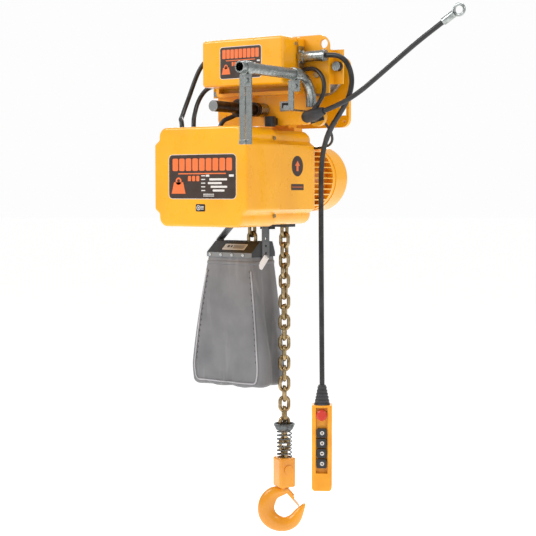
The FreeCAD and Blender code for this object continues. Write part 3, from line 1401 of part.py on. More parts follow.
def bag_straps():
    """Two straps: a perforated flat one on the right, a cranked one on the left."""
    guide_low = worth(BODY_LOW) - 5
    y = -5.5
    right = Part.makeBox(STRAP_WALL, 2 * STRAP_HALF, guide_low - BAG["mouth"] + 6,
                         Vector(BAG["right"], y - STRAP_HALF, BAG["mouth"] - 6))
    holes = [Part.makeCylinder(4, 20, Vector(BAG["right"] - 5, y, BAG["mouth"] + 10 + 20 * i), X_AXIS)
             for i in range(3)]
    right = right.cut(holes)
    x = BAG["left"]
    under = worth(BODY_LOW)
    crank = [(x - STRAP_WALL, BAG["mouth"] + 6), (x - STRAP_WALL, BAG["ridge"] + 4),
             (x + 38, under), (x + 66, under), (x + 66, under - 3), (x + 40, under - 3),
             (x, BAG["ridge"] + 3), (x, BAG["mouth"] + 6)]
    left = prism(crank, "Y", y - STRAP_HALF, 2 * STRAP_HALF)
    return shaped(Part.makeCompound([right, left]))


node(bag_straps(), "bag_straps")


def rounded_loop(x0, x1, y0, y1, z, radius):
    """A closed rectangle with round corners at one height."""
    k = radius * (1 - math.sqrt(0.5))
    edges = []
    spots = [(x1 - radius, y0, x1 - k, y0 + k, x1, y0 + radius),
             (x1, y1 - radius, x1 - k, y1 - k, x1 - radius, y1),
             (x0 + radius, y1, x0 + k, y1 - k, x0, y1 - radius),
             (x0, y0 + radius, x0 + k, y0 + k, x0 + radius, y0)]
    last = Vector(spots[-1][4], spots[-1][5], z)
    for ax, ay, mx, my, bx, by in spots:
        start, middle, end = Vector(ax, ay, z), Vector(mx, my, z), Vector(bx, by, z)
        edges.append(Part.LineSegment(last, start).toShape())
        edges.append(Part.Arc(start, middle, end).toShape())
        last = end
    return Part.Wire(edges)


BAG_STATIONS = [(0, 0.0, 8), (-130, 0.47, 12), (-290, 1.0, 16), (-342, 0.93, 20)]


def bag_loop(drop, share, radius, inset, lift):
    """The bag's plan at one height: how far down, its share of the spread and its corner radius."""
    grow, grow_left = BAG["spread"] * share, BAG["spread_left"] * share
    return rounded_loop(BAG["left"] + 2 - grow_left + inset, BAG["right"] - 2 + grow - inset,
                        BAG["near"] + 3 + grow * 0.1 + inset, BAG["far"] - 3 + grow * 0.3 - inset,
                        BAG["mouth"] + drop + lift, max(radius - inset, 3))


def chain_bag():
    """The cloth bag as a hollow solid: narrow at its mouth, wide and rounded low down."""
    wall = size("bag_wall")
    outer = Part.makeLoft([bag_loop(*station, 0, 0) for station in BAG_STATIONS], True, True)
    turn = Part.makeLoft([
        bag_loop(*BAG_STATIONS[-1], 0, 0),
        rounded_loop(BAG["left"] - 28, BAG["right"] + 10, BAG["near"] + 14, BAG["far"] - 12,
                     BAG["floor"], 16),
    ], True, True)
    lifts = [1, 0, 0, wall]
    inner = Part.makeLoft([bag_loop(*station, wall, lift) for station, lift in zip(BAG_STATIONS, lifts)],
                          True, True)
    return shaped(outer.fuse(turn).cut(inner))


node(chain_bag(), "chain_bag")


def hoist_fasteners():
    """The cover's screws, the bag frame's rivets and the strap bolts."""
    side = worth("body_x + body_half - shoulder_step")
    other = worth("body_x - body_half + shoulder_step")
    parts = []
    for height in (-100, 100):
        z = SHEAVE_Z + height
        parts.append(Part.makeCylinder(5, 4, Vector(side, size("seam_y") - 8, z), X_AXIS))
        parts.append(Part.makeCylinder(5, 4, Vector(other - 4, size("seam_y") - 8, z), X_AXIS))
    span = BAG["right"] - BAG["left"]
    for i in range(4):
        x = BAG["left"] + 12 + i * (span - 40) / 3
        parts.append(Part.makeCylinder(4, 3, Vector(x, BAG["near"] - 3, BAG["mouth"] + 6), Y_AXIS))
    for i in range(2):
        y = -5.5 + (i - 0.5) * 18
        parts.append(Part.makeCylinder(4.5, 3.5, Vector(BAG["left"] + 52, y, worth(BODY_LOW) - 6.5), Z_AXIS))
    return shaped(Part.makeCompound(parts))


node(hoist_fasteners(), "hoist_fasteners")

# ---------------------------------------------------------------------------
# Limit plate, spring, hook block and hook
# ---------------------------------------------------------------------------

BLOCK_TURN = size("chain_twist")
BLOCK_PLACE = Placement(Vector(), Rotation(Z_AXIS, BLOCK_TURN))
HOOK_TURN = 34.4
HOOK_PLACE = Placement(Vector(), Rotation(Z_AXIS, HOOK_TURN))
LAST_LINK_Z = SHEAVE_Z - PITCH * (LOAD_COUNT - 1)


def limit_plate():
    """A dished washer that the chain runs through."""
    top, low, radius = size("limit_plate_top"), size("spring_top"), size("limit_plate_radius")
    bore = LINK_HALF + 1.2
    profile = [(bore, low + 0.4), (size("spring_radius") + 3, low + 0.4), (radius, top - 4), (radius, top),
               (radius - 3, top), (size("spring_radius") + 1.5, low + 5), (bore, low + 5)]
    face = Part.Face(Part.makePolygon([Vector(r, 0, z) for r, z in profile + profile[:1]]))
    return shaped(face.revolve(Vector(), Z_AXIS, 360))


node(limit_plate(), "limit_plate")


SPRING_STATIONS = 14
SPRING_FLATS = 10


def cushion_spring():
    """A helical spring that stands on the hook block, in short flats along and round its wire."""
    wire, radius = size("spring_wire") / 2, size("spring_radius")
    low, high = size("block_top") + wire + 0.1, size("spring_top") - wire
    count = int(SPRING_STATIONS * size("spring_turns"))
    rise = (high - low) / count
    rings = []
    for station in range(count + 1):
        turn = 2 * math.pi * station / SPRING_STATIONS
        out = Vector(math.cos(turn), math.sin(turn), 0)
        way = Vector(-out.y * radius, out.x * radius, rise * SPRING_STATIONS / (2 * math.pi)).normalize()
        centre = out * radius + Vector(0, 0, low + rise * station)
        around = [2 * math.pi * flat / SPRING_FLATS for flat in range(SPRING_FLATS)]
        up = way.cross(out)
        rings.append([centre + out * (wire * math.cos(t)) + up * (wire * math.sin(t)) for t in around])
    faces = [Part.Face(Part.makePolygon(end + end[:1])) for end in (rings[0], rings[-1])]
    for first, second in zip(rings, rings[1:]):
        for flat in range(SPRING_FLATS):
            after = (flat + 1) % SPRING_FLATS
            a, b, c, d = first[flat], first[after], second[after], second[flat]
            faces += [Part.Face(Part.makePolygon([a, b, c, a])), Part.Face(Part.makePolygon([a, c, d, a]))]
    shell = Part.makeShell(faces)
    shell.sewShape()
    solid = Part.makeSolid(shell)
    return shaped(solid if solid.Volume > 0 else solid.reversed())


node(cushion_spring(), "cushion_spring")

COLLAR_TOP = LAST_LINK_Z - LINK_REACH - 4
COLLAR_LOW = COLLAR_TOP - 12
PIN_Z = LAST_LINK_Z - PITCH / 2 + 4.6


def hook_block():
    """Two bolted halves round the last link and the hook's collar."""
    top, low, half = size("block_top"), size("block_low"), size("block_half")
    solid = Part.makeBox(2 * half, 2 * half + 2, top - low, Vector(-half, -half - 1, low))
    upright = [edge for edge in solid.Edges if along(edge, Z_AXIS)]
    solid = solid.makeFillet(9, upright)
    rims = [edge for edge in solid.Edges if not along(edge, Z_AXIS)]
    solid = solid.makeFillet(5, rims)
    hollow = [
        Part.makeCylinder(LINK_HALF + 1.2, top - COLLAR_TOP - 1, Vector(0, 0, COLLAR_TOP + 2), Z_AXIS),
        Part.makeCylinder(18.6, COLLAR_TOP - COLLAR_LOW + 2.6, Vector(0, 0, COLLAR_LOW - 0.3), Z_AXIS),
        Part.makeCylinder(size("shank_radius") + size("running_gap"), 60, Vector(0, 0, low - 1), Z_AXIS),
        Part.makeCylinder(4.5, 200, Vector(0, -100, PIN_Z), Y_AXIS),
    ]
    solid = solid.cut(hollow)
    split = -12
    front = solid.common(Part.makeBox(200, 100, 400, Vector(-100, split - 100, low - 50)))
    rear = solid.common(Part.makeBox(200, 100, 400, Vector(-100, split, low - 50)))
    return shaped(Part.makeCompound([front, rear]), BLOCK_PLACE)


node(hook_block(), "hook_block")

PIN_HEAD = 12
pin_half = size("block_half") + 1
chain_pin = Part.makeCylinder(4.5, 2 * pin_half, Vector(0, -pin_half, PIN_Z), Y_AXIS).fuse([
    Part.makeCylinder(PIN_HEAD, 3.2, Vector(0, -pin_half - 3.2, PIN_Z), Y_AXIS),
    Part.makeCylinder(PIN_HEAD, 3.2, Vector(0, pin_half, PIN_Z), Y_AXIS)])
node(shaped(chain_pin.removeSplitter(), BLOCK_PLACE), "chain_pin")

# Stations round the bowl: angle from the tip's side, inner radius, depth, thickness.
HOOK_STATIONS = [
    (128, 1.10, 37, 27), (150, 1.0, 43, 29), (180, 1.0, 46, 31), (215, 1.0, 47, 33), (250, 1.0, 43, 33),
    (283, 1.0, 39, 31), (316, 1.0, 33, 27), (342, 1.1, 26, 22), (359, 1.42, 19, 17), (370, 1.86, 8, 10),
]
LATCH_PIVOT = Vector(6, 0, size("block_low") - 8)
LATCH_TIP = Vector(44, 0, size("bowl_z") + 6)
LATCH_PIN = 3
LATCH_HALF = 16.5


def crane_hook():
    """The forged hook: a shank with a collar, swept into a tapering bowl."""
    bowl, centre_z = size("bowl_radius"), size("bowl_z")
    shank = Part.makeCylinder(size("shank_radius"), COLLAR_LOW + 1 - size("block_low") + 5,
                              Vector(0, 0, size("block_low") - 5), Z_AXIS)
    collar = Part.makeCylinder(17.9, COLLAR_TOP - COLLAR_LOW, Vector(0, 0, COLLAR_LOW), Z_AXIS)

    def section(centre, way, depth, thick):
        loop = Part.Ellipse(Vector(), max(depth, thick) / 2, min(depth, thick) / 2).toShape()
        if thick > depth:
            loop.rotate(Vector(), Z_AXIS, 90)
        side = way.cross(Y_AXIS)
        loop.Placement = Placement(centre, Rotation(side, Y_AXIS, way, "ZXY")).multiply(loop.Placement)
        return Part.Wire([loop])

    loops = [section(Vector(0, 0, size("block_low") - 4), Vector(0, 0, -1), 25.9, 25.9),
             section(Vector(-6, 0, size("block_low") - 12), Vector(-0.62, 0, -0.78).normalize(), 30, 26)]
    for degrees, share, depth, thick in HOOK_STATIONS:
        angle = math.radians(degrees)
        reach = bowl * share + depth / 2
        centre = Vector(reach * math.cos(angle), 0, centre_z + reach * math.sin(angle))
        way = Vector(-math.sin(angle), 0, math.cos(angle))
        loops.append(section(centre, way, depth, thick))
    curve = Part.makeLoft(loops, True, False)
    lug = Part.makeCylinder(6.5, 2 * LATCH_HALF - 6, LATCH_PIVOT - Vector(0, LATCH_HALF - 3, 0), Y_AXIS)
    pin_hole = Part.makeCylinder(LATCH_PIN + size("running_gap"), 60, LATCH_PIVOT - Vector(0, 30, 0), Y_AXIS)
    return shaped(shank.fuse([collar, curve, lug]).cut(pin_hole), HOOK_PLACE)


node(crane_hook(), "crane_hook")


def hook_latch():
    """A sprung sheet latch with a cheek each side of the hook's neck."""
    way = (LATCH_TIP - LATCH_PIVOT).normalize()
    length = (LATCH_TIP - LATCH_PIVOT).Length
    half, wall, cheek = LATCH_HALF, 2, 26
    web = Part.makeBox(wall, 2 * half, length - cheek, Vector(3, -half, cheek))
    cheeks = [Part.makeBox(9, wall, cheek + 8, Vector(-4, y, -4)) for y in (-half, half - wall)]
    tongue = Part.makeBox(wall, 2 * half, 10, Vector(3, -half, cheek - 4))
    pin = Part.makeCylinder(LATCH_PIN, 2 * half + 4, Vector(0, -half - 2, 0), Y_AXIS)
    solid = web.fuse(cheeks + [tongue, pin]).removeSplitter()
    turn = Rotation(way.cross(Y_AXIS) * -1, Y_AXIS, way, "ZYX")
    solid.Placement = HOOK_PLACE.multiply(Placement(LATCH_PIVOT, turn))
    return shaped(solid)


node(hook_latch(), "hook_latch")

# ---------------------------------------------------------------------------
# Check every sub-part, then write it
# ---------------------------------------------------------------------------

doc.recompute()
faults = [thing.Label for thing in doc.Objects if {"Invalid", "Error"} & set(thing.State)]
for thing in NODES:
    if thing.Shape.isNull() or not thing.Shape.isValid() or not thing.Shape.Solids:
        faults.append(thing.Label)
if faults:
    raise RuntimeError("failed: " + ", ".join(faults))
for thing in NODES:
    thing.Shape.exportStep(f"parts/{thing.Label}.step")
print(len(NODES), "sub-parts written")
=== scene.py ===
"""Looks of an electric chain hoist on a beam trolley: its finishes, chain bag, cords, labels and studio."""

from __future__ import annotations

import logging
import math
from collections.abc import Callable
from dataclasses import dataclass, field
from enum import Enum

import bmesh
import bpy
from mathutils import Matrix, Vector, noise

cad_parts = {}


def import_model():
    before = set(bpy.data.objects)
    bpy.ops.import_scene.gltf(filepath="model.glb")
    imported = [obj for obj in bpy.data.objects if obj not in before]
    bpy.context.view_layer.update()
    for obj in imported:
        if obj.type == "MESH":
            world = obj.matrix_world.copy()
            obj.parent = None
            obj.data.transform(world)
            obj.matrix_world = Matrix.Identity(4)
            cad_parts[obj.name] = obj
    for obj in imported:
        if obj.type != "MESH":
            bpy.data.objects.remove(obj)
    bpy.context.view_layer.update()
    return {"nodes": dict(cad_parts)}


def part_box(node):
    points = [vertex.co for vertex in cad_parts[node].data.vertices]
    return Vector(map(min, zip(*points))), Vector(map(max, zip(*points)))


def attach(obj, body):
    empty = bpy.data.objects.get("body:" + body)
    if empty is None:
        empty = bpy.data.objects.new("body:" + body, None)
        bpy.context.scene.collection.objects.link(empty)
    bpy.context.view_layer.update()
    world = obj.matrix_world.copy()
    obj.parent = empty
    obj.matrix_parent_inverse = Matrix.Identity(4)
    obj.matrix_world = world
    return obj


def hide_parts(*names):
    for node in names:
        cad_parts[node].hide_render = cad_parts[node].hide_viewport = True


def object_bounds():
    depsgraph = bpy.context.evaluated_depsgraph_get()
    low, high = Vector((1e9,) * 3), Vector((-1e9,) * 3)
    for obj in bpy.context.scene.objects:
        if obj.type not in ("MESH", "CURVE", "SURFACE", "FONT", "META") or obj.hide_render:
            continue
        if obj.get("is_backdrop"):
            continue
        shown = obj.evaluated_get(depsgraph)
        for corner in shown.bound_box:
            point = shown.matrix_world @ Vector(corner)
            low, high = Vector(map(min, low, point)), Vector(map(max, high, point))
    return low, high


LOG = logging.getLogger("chain_hoist")
MM = 0.001
WAVE_SPAN = 2 * math.pi / 20  # metres that one band of a Wave Texture covers at scale 1
UP = Vector((0.0, 0.0, 1.0))


def linear(colour: str) -> tuple[float, float, float, float]:
    """Turns an sRGB hex value into linear light.

    Args:
        colour: six hex digits after a hash.

    Returns:
        Red, green, blue and an alpha of 1.
    """
    steps = [int(colour[i:i + 2], 16) / 255 for i in (1, 3, 5)]
    light = [c / 12.92 if c <= 0.04045 else ((c + 0.055) / 1.055) ** 2.4 for c in steps]
    return (light[0], light[1], light[2], 1.0)


def per(millimetres: float) -> float:
    """Returns the scale of a noise or cell texture whose features are this size."""
    return 1000 / millimetres


def banded(millimetres: float) -> float:
    """Returns the scale of a Wave Texture whose bands are this far apart."""
    return 1000 * WAVE_SPAN / millimetres


def add(tree: bpy.types.NodeTree, kind: str, links: dict | None = None, **settings: object) -> bpy.types.Node:
    """Adds one node with its settings and links.

    Args:
        tree: the node tree to add to.
        kind: the node's type.
        links: an input's name or number, and the socket or plain value that goes into it.
        settings: the node's own properties.

    Returns:
        The new node.
    """
    made = tree.nodes.new(kind)
    for name, value in settings.items():
        setattr(made, name, value)
    for name, value in (links or {}).items():
        if isinstance(value, bpy.types.NodeSocket):
            tree.links.new(value, made.inputs[name])
        else:
            made.inputs[name].default_value = value
    return made


class Blend(Enum):
    """Number of a Mix node's sockets for a colour mix."""

    FIRST = 6
    SECOND = 7
    RESULT = 2


@dataclass(frozen=True)
class Finish:
    """A finish that a real surface has, as a material that is made once."""

    name: str

    def lay(self, tree: bpy.types.NodeTree, place: bpy.types.NodeSocket, shader: bpy.types.Node) -> None:
        """Adds the finish's own nodes."""
        raise NotImplementedError

    def material(self) -> bpy.types.Material:
        """Returns the finish's material, made on the first call."""
        known = bpy.data.materials.get(self.name)
        if known:
            return known
        made = bpy.data.materials.new(self.name)
        made.use_nodes = True
        tree = made.node_tree
        tree.nodes.clear()
        shader = add(tree, "ShaderNodeBsdfPrincipled")
        add(tree, "ShaderNodeOutputMaterial", {"Surface": shader.outputs[0]})
        self.lay(tree, add(tree, "ShaderNodeTexCoord").outputs["Object"], shader)
        return made

    def two_tone(self, tree: bpy.types.NodeTree, share: bpy.types.NodeSocket, first: str,
                 second: str) -> bpy.types.NodeSocket:
        """Mixes two colours.

        Args:
            tree: the material's nodes.
            share: how much of the second colour shows.
            first: hex of the first colour.
            second: hex of the second colour.

        Returns:
            The mixed colour's socket.
        """
        mix = add(tree, "ShaderNodeMix", {0: share, Blend.FIRST.value: linear(first),
                                          Blend.SECOND.value: linear(second)}, data_type="RGBA")
        return mix.outputs[Blend.RESULT.value]

    def within(self, tree: bpy.types.NodeTree, value: bpy.types.NodeSocket, low: float, high: float,
               start: float = 0.35, end: float = 0.65) -> bpy.types.NodeSocket:
        """Spreads a pattern's middle values over a range.

        Args:
            tree: the material's nodes.
            value: the pattern's socket.
            low: what start becomes.
            high: what end becomes.
            start: the pattern's lower value.
            end: the pattern's upper value.

        Returns:
            The spread value's socket.
        """
        return add(tree, "ShaderNodeMapRange", {"Value": value, "From Min": start, "From Max": end,
                                                "To Min": low, "To Max": high}).outputs[0]

    def edge_wear_and_highlight(self, tree: bpy.types.NodeTree,
                  width: float) -> tuple[bpy.types.NodeSocket, bpy.types.NodeSocket]:
        """Rounds the shading at sharp edges and finds them, for worn edges on some finishes and a painted
        highlight on the gloss enamel's edges.

        Args:
            tree: the material's nodes.
            width: the rounding's radius in millimetres.

        Returns:
            The rounded normal, and a mask that is 1 on the edges.
        """
        soft = add(tree, "ShaderNodeBevel", {"Radius": width * MM}, samples=4).outputs[0]
        sharp = add(tree, "ShaderNodeNewGeometry").outputs["Normal"]
        facing = add(tree, "ShaderNodeVectorMath", {0: soft, 1: sharp},
                     operation="DOT_PRODUCT").outputs["Value"]
        mask = self.within(tree, facing, 1.0, 0.0, 0.86, 0.99)
        return soft, mask


@dataclass(frozen=True)
class GlossEnamel(Finish):
    """Baked gloss enamel, sprayed on castings: a deep even colour, faint orange peel and a clear shine."""

    colour: str = "#F8AE06"
    shade: str = "#F2A503"
    # painted highlight: a paler yellow laid along every edge
    edge: str = "#FFCB4E"
    peel: float = 3.5  # millimetres; the real one is about 1.5, too fine to show

    def lay(self, tree: bpy.types.NodeTree, place: bpy.types.NodeSocket, shader: bpy.types.Node) -> None:
        """Adds the coat's cloudiness, orange peel, soft edges with a painted highlight and dusty roughness.
        """
        soft, mask = self.edge_wear_and_highlight(tree, 1.6)
        cloud = add(tree, "ShaderNodeTexNoise", {"Vector": place, "Scale": per(140), "Detail": 2.0})
        peel = add(tree, "ShaderNodeTexNoise", {"Vector": place, "Scale": per(self.peel), "Detail": 1.0})
        dust = add(tree, "ShaderNodeTexNoise", {"Vector": place, "Scale": per(38), "Detail": 4.0})
        body = self.two_tone(tree, self.within(tree, cloud.outputs[0], 0.0, 1.0), self.colour, self.shade)
        # mixes the pale edge colour into the edges as a painted highlight
        rim = add(tree, "ShaderNodeMix",
                  {0: self.within(tree, mask, 0.0, 0.7, 0.2, 1.0), Blend.FIRST.value: body,
                                          Blend.SECOND.value: linear(self.edge)}, data_type="RGBA")
        bump = add(tree, "ShaderNodeBump", {"Height": peel.outputs[0], "Strength": 0.06, "Distance": 0.3 * MM,
                                            "Normal": soft})
        tree.links.new(rim.outputs[Blend.RESULT.value], shader.inputs["Base Color"])
        tree.links.new(self.within(tree, dust.outputs[0], 0.24, 0.4), shader.inputs["Roughness"])
        tree.links.new(bump.outputs[0], shader.inputs["Normal"])
        shader.inputs["IOR"].default_value = 1.5
        shader.inputs["Coat Weight"].default_value = 0.45
        shader.inputs["Coat Roughness"].default_value = 0.12


@dataclass(frozen=True)
class SheetEnamel(Finish):
    """Satin black or grey stoved enamel on folded sheet: matt, with fine grit and rubbed brighter edges."""

    colour: str = "#2B2E31"
    edge: str = "#6E7276"
    rough: float = 0.45

    def lay(self, tree: bpy.types.NodeTree, place: bpy.types.NodeSocket, shader: bpy.types.Node) -> None:
        """Adds rubbed edges, fine grit and cloudy roughness."""
        soft, mask = self.edge_wear_and_highlight(tree, 0.8)
        rub = add(tree, "ShaderNodeTexNoise", {"Vector": place, "Scale": per(12), "Detail": 5.0})
        grit = add(tree, "ShaderNodeTexNoise", {"Vector": place, "Scale": per(1.2), "Detail": 2.0})
        worn = add(tree, "ShaderNodeMath", {0: mask, 1: rub.outputs[0]}, operation="MULTIPLY").outputs[0]
        tree.links.new(self.two_tone(tree, worn, self.colour, self.edge), shader.inputs["Base Color"])
        tree.links.new(self.within(tree, rub.outputs[0], self.rough - 0.08, self.rough + 0.1),
                       shader.inputs["Roughness"])
        bump = add(tree, "ShaderNodeBump", {"Height": grit.outputs[0], "Strength": 0.15, "Distance": 0.2 * MM,
                                            "Normal": soft})
        tree.links.new(bump.outputs[0], shader.inputs["Normal"])


@dataclass(frozen=True)
class PlatedSteel(Finish):
    """Electroplated or passivated steel: a cloudy crystalline film, dull in patches, bright on edges."""

    colour: str = "#AEB3B1"
    patch: str = "#858B89"
    edge: str = "#DADDDB"
    rough: float = 0.24
    patch_size: float = 9.0  # millimetres

    def lay(self, tree: bpy.types.NodeTree, place: bpy.types.NodeSocket, shader: bpy.types.Node) -> None:
        """Adds the film's patches, a fine rolled grain and bright edges."""
        soft, mask = self.edge_wear_and_highlight(tree, 0.9)
        film = add(tree, "ShaderNodeTexNoise", {"Vector": place, "Scale": per(self.patch_size), "Detail": 6.0,
                                                "Roughness": 0.65})
        grain = add(tree, "ShaderNodeTexNoise", {"Vector": place, "Scale": per(1.0), "Detail": 2.0})
        body = self.two_tone(tree, self.within(tree, film.outputs[0], 0.0, 1.0, 0.38, 0.66), self.colour,
                             self.patch)
        rim = add(tree, "ShaderNodeMix", {0: mask, Blend.FIRST.value: body,
                                          Blend.SECOND.value: linear(self.edge)}, data_type="RGBA")
        tree.links.new(rim.outputs[Blend.RESULT.value], shader.inputs["Base Color"])
        tree.links.new(self.within(tree, film.outputs[0], self.rough - 0.08, self.rough + 0.16),
                       shader.inputs["Roughness"])
        bump = add(tree, "ShaderNodeBump",
                   {"Height": grain.outputs[0], "Strength": 0.12, "Distance": 0.15 * MM,
                                            "Normal": soft})
        tree.links.new(bump.outputs[0], shader.inputs["Normal"])
        shader.inputs["Metallic"].default_value = 1.0


@dataclass(frozen=True)
class TurnedSteel(Finish):
    """Steel turned on a lathe: fine tool rings across the part, light rust bloom between them."""

    colour: str = "#A7A9AA"
    bloom: str = "#6B625A"
    ring: float = 1.4  # millimetres; real tool marks are 0.2, too fine to show
    rough: float = 0.34

    def lay(self, tree: bpy.types.NodeTree, place: bpy.types.NodeSocket, shader: bpy.types.Node) -> None:
        """Adds tool rings, bloom and soft edges."""
        soft, mask = self.edge_wear_and_highlight(tree, 0.8)
        rings = add(tree, "ShaderNodeTexWave",
                    {"Vector": place, "Scale": banded(self.ring), "Distortion": 0.4},
                    wave_type="BANDS", bands_direction="Y")
        bloom = add(tree, "ShaderNodeTexNoise", {"Vector": place, "Scale": per(14), "Detail": 5.0})
        body = self.two_tone(tree, self.within(tree, bloom.outputs[0], 0.0, 0.8, 0.45, 0.75), self.colour,
                             self.bloom)
        rim = add(tree, "ShaderNodeMix", {0: mask, Blend.FIRST.value: body,
                                          Blend.SECOND.value: linear("#D6D8D8")}, data_type="RGBA")
        tree.links.new(rim.outputs[Blend.RESULT.value], shader.inputs["Base Color"])
        tree.links.new(self.within(tree, bloom.outputs[0], self.rough, self.rough + 0.18),
                       shader.inputs["Roughness"])
        bump = add(tree, "ShaderNodeBump", {"Height": rings.outputs[0], "Strength": 0.1, "Distance": 0.1 * MM,
                                            "Normal": soft})
        tree.links.new(bump.outputs[0], shader.inputs["Normal"])
        shader.inputs["Metallic"].default_value = 1.0


@dataclass(frozen=True)
class StackedLaminations(Finish):
    """Varnished steel laminations: thin stripes across the stack under a brown varnish."""

    pitch: float = 2.0  # millimetres; real sheets are 0.5, too fine to show

    def lay(self, tree: bpy.types.NodeTree, place: bpy.types.NodeSocket, shader: bpy.types.Node) -> None:
        """Adds the sheets' stripes as colour and relief."""
        stripe = add(tree, "ShaderNodeTexWave", {"Vector": place, "Scale": banded(self.pitch)},
                     wave_type="BANDS", bands_direction="Y")
        tree.links.new(self.two_tone(tree, stripe.outputs[0], "#2D2926", "#5C564F"),
                       shader.inputs["Base Color"])
        bump = add(tree, "ShaderNodeBump",
                   {"Height": stripe.outputs[0], "Strength": 0.5, "Distance": 0.3 * MM})
        tree.links.new(bump.outputs[0], shader.inputs["Normal"])
        shader.inputs["Metallic"].default_value = 0.6
        shader.inputs["Roughness"].default_value = 0.4


@dataclass(frozen=True)
class ExtrudedRubber(Finish):
    """Extruded rubber jacket or moulded boot: near black with a low sheen and dusty, greyer patches."""

    colour: str = "#141415"
    dusty: str = "#2C2C2E"
    rough: float = 0.38
    ribs: float = 0.0  # millimetres between moulded ribs, or 0

    def lay(self, tree: bpy.types.NodeTree, place: bpy.types.NodeSocket, shader: bpy.types.Node) -> None:
        """Adds dusty patches, fine pitting and, where there are any, ribs."""
        dust = add(tree, "ShaderNodeTexNoise", {"Vector": place, "Scale": per(22), "Detail": 5.0})
        pits = add(tree, "ShaderNodeTexNoise", {"Vector": place, "Scale": per(1.5), "Detail": 2.0})
        height = pits.outputs[0]
        if self.ribs:
            rib = add(tree, "ShaderNodeTexWave", {"Vector": place, "Scale": banded(self.ribs)},
                      wave_type="BANDS", bands_direction="Z")
            height = add(tree, "ShaderNodeMath", {0: rib.outputs[0], 1: height}, operation="ADD").outputs[0]
        body = self.two_tone(tree, self.within(tree, dust.outputs[0], 0.0, 1.0, 0.45, 0.7), self.colour,
                             self.dusty)
        bump = add(tree, "ShaderNodeBump", {"Height": height, "Strength": 0.6 if self.ribs else 0.12,
                                            "Distance": (0.8 if self.ribs else 0.15) * MM})
        tree.links.new(body, shader.inputs["Base Color"])
        tree.links.new(self.within(tree, dust.outputs[0], self.rough - 0.06, self.rough + 0.14),
                       shader.inputs["Roughness"])
        tree.links.new(bump.outputs[0], shader.inputs["Normal"])
        shader.inputs["IOR"].default_value = 1.52


@dataclass(frozen=True)
class MouldedPlastic(Finish):
    """Injection-moulded ABS or nylon: an even colour, a fine spark-eroded texture, round edges."""

    colour: str = "#F6A913"
    shade: str = "#EB9905"
    rough: float = 0.36
    grain: float = 1.1  # millimetres; the real texture is 0.2, too fine to show

    def lay(self, tree: bpy.types.NodeTree, place: bpy.types.NodeSocket, shader: bpy.types.Node) -> None:
        """Adds the mould's texture, faint flow marks and rounded edges."""
        soft, _ = self.edge_wear_and_highlight(tree, 0.7)
        flow = add(tree, "ShaderNodeTexNoise", {"Vector": place, "Scale": per(45), "Detail": 3.0})
        grain = add(tree, "ShaderNodeTexVoronoi", {"Vector": place, "Scale": per(self.grain)})
        body = self.two_tone(tree, self.within(tree, flow.outputs[0], 0.0, 1.0), self.colour, self.shade)
        bump = add(tree, "ShaderNodeBump",
                   {"Height": grain.outputs[0], "Strength": 0.08, "Distance": 0.15 * MM,
                                            "Normal": soft})
        tree.links.new(body, shader.inputs["Base Color"])
        tree.links.new(self.within(tree, flow.outputs[0], self.rough - 0.05, self.rough + 0.08),
                       shader.inputs["Roughness"])
        tree.links.new(bump.outputs[0], shader.inputs["Normal"])
        shader.inputs["IOR"].default_value = 1.53


@dataclass(frozen=True)
class CoatedCloth(Finish):
    """Woven polyester with a grey coating: a soft sheen, a weave just showing and pale rubbed folds."""

    colour: str = "#79797B"
    rubbed: str = "#9C9C9D"
    soiled: str = "#67676A"
    thread: float = 2.2  # millimetres; the real threads are 0.7 apart, too fine to show

    def lay(self, tree: bpy.types.NodeTree, place: bpy.types.NodeSocket, shader: bpy.types.Node) -> None:
        """Adds the weave, upright rub marks and soiling."""
        parts = add(tree, "ShaderNodeSeparateXYZ", {0: place})
        round_it = add(tree, "ShaderNodeMath", {0: parts.outputs[0], 1: parts.outputs[1]},
                       operation="ADD").outputs[0]
        flat = add(tree, "ShaderNodeCombineXYZ", {0: round_it, 1: parts.outputs[2]}).outputs[0]
        warp = add(tree, "ShaderNodeTexWave", {"Vector": flat, "Scale": banded(self.thread)},
                   wave_type="BANDS", bands_direction="X").outputs[0]
        weft = add(tree, "ShaderNodeTexWave", {"Vector": flat, "Scale": banded(self.thread)},
                   wave_type="BANDS", bands_direction="Y").outputs[0]
        weave = add(tree, "ShaderNodeMath", {0: warp, 1: weft}, operation="MULTIPLY").outputs[0]
        tall = add(tree, "ShaderNodeMapping", {"Vector": place, "Scale": (1.0, 1.0, 0.12)}).outputs[0]
        rub = add(tree, "ShaderNodeTexNoise", {"Vector": tall, "Scale": per(26), "Detail": 4.0}).outputs[0]
        soil = add(tree, "ShaderNodeTexNoise", {"Vector": place, "Scale": per(75), "Detail": 5.0}).outputs[0]
        base = self.two_tone(tree, self.within(tree, soil, 0.0, 1.0, 0.4, 0.75), self.colour, self.soiled)
        worn = add(tree, "ShaderNodeMix", {0: self.within(tree, rub, 0.0, 0.45, 0.58, 0.78),
                                           Blend.FIRST.value: base, Blend.SECOND.value: linear(self.rubbed)},
                   data_type="RGBA")
        tree.links.new(worn.outputs[Blend.RESULT.value], shader.inputs["Base Color"])
        tree.links.new(self.within(tree, rub, 0.5, 0.66), shader.inputs["Roughness"])
        crumple = add(tree, "ShaderNodeTexNoise",
                      {"Vector": tall, "Scale": per(18), "Detail": 3.0}).outputs[0]
        fold = add(tree, "ShaderNodeBump", {"Height": crumple, "Strength": 0.3, "Distance": 1.6 * MM})
        bump = add(tree, "ShaderNodeBump", {"Height": weave, "Strength": 0.22, "Distance": 0.25 * MM,
                                            "Normal": fold.outputs[0]})
        tree.links.new(bump.outputs[0], shader.inputs["Normal"])
        shader.inputs["Sheen Weight"].default_value = 0.12
        shader.inputs["Sheen Roughness"].default_value = 0.4


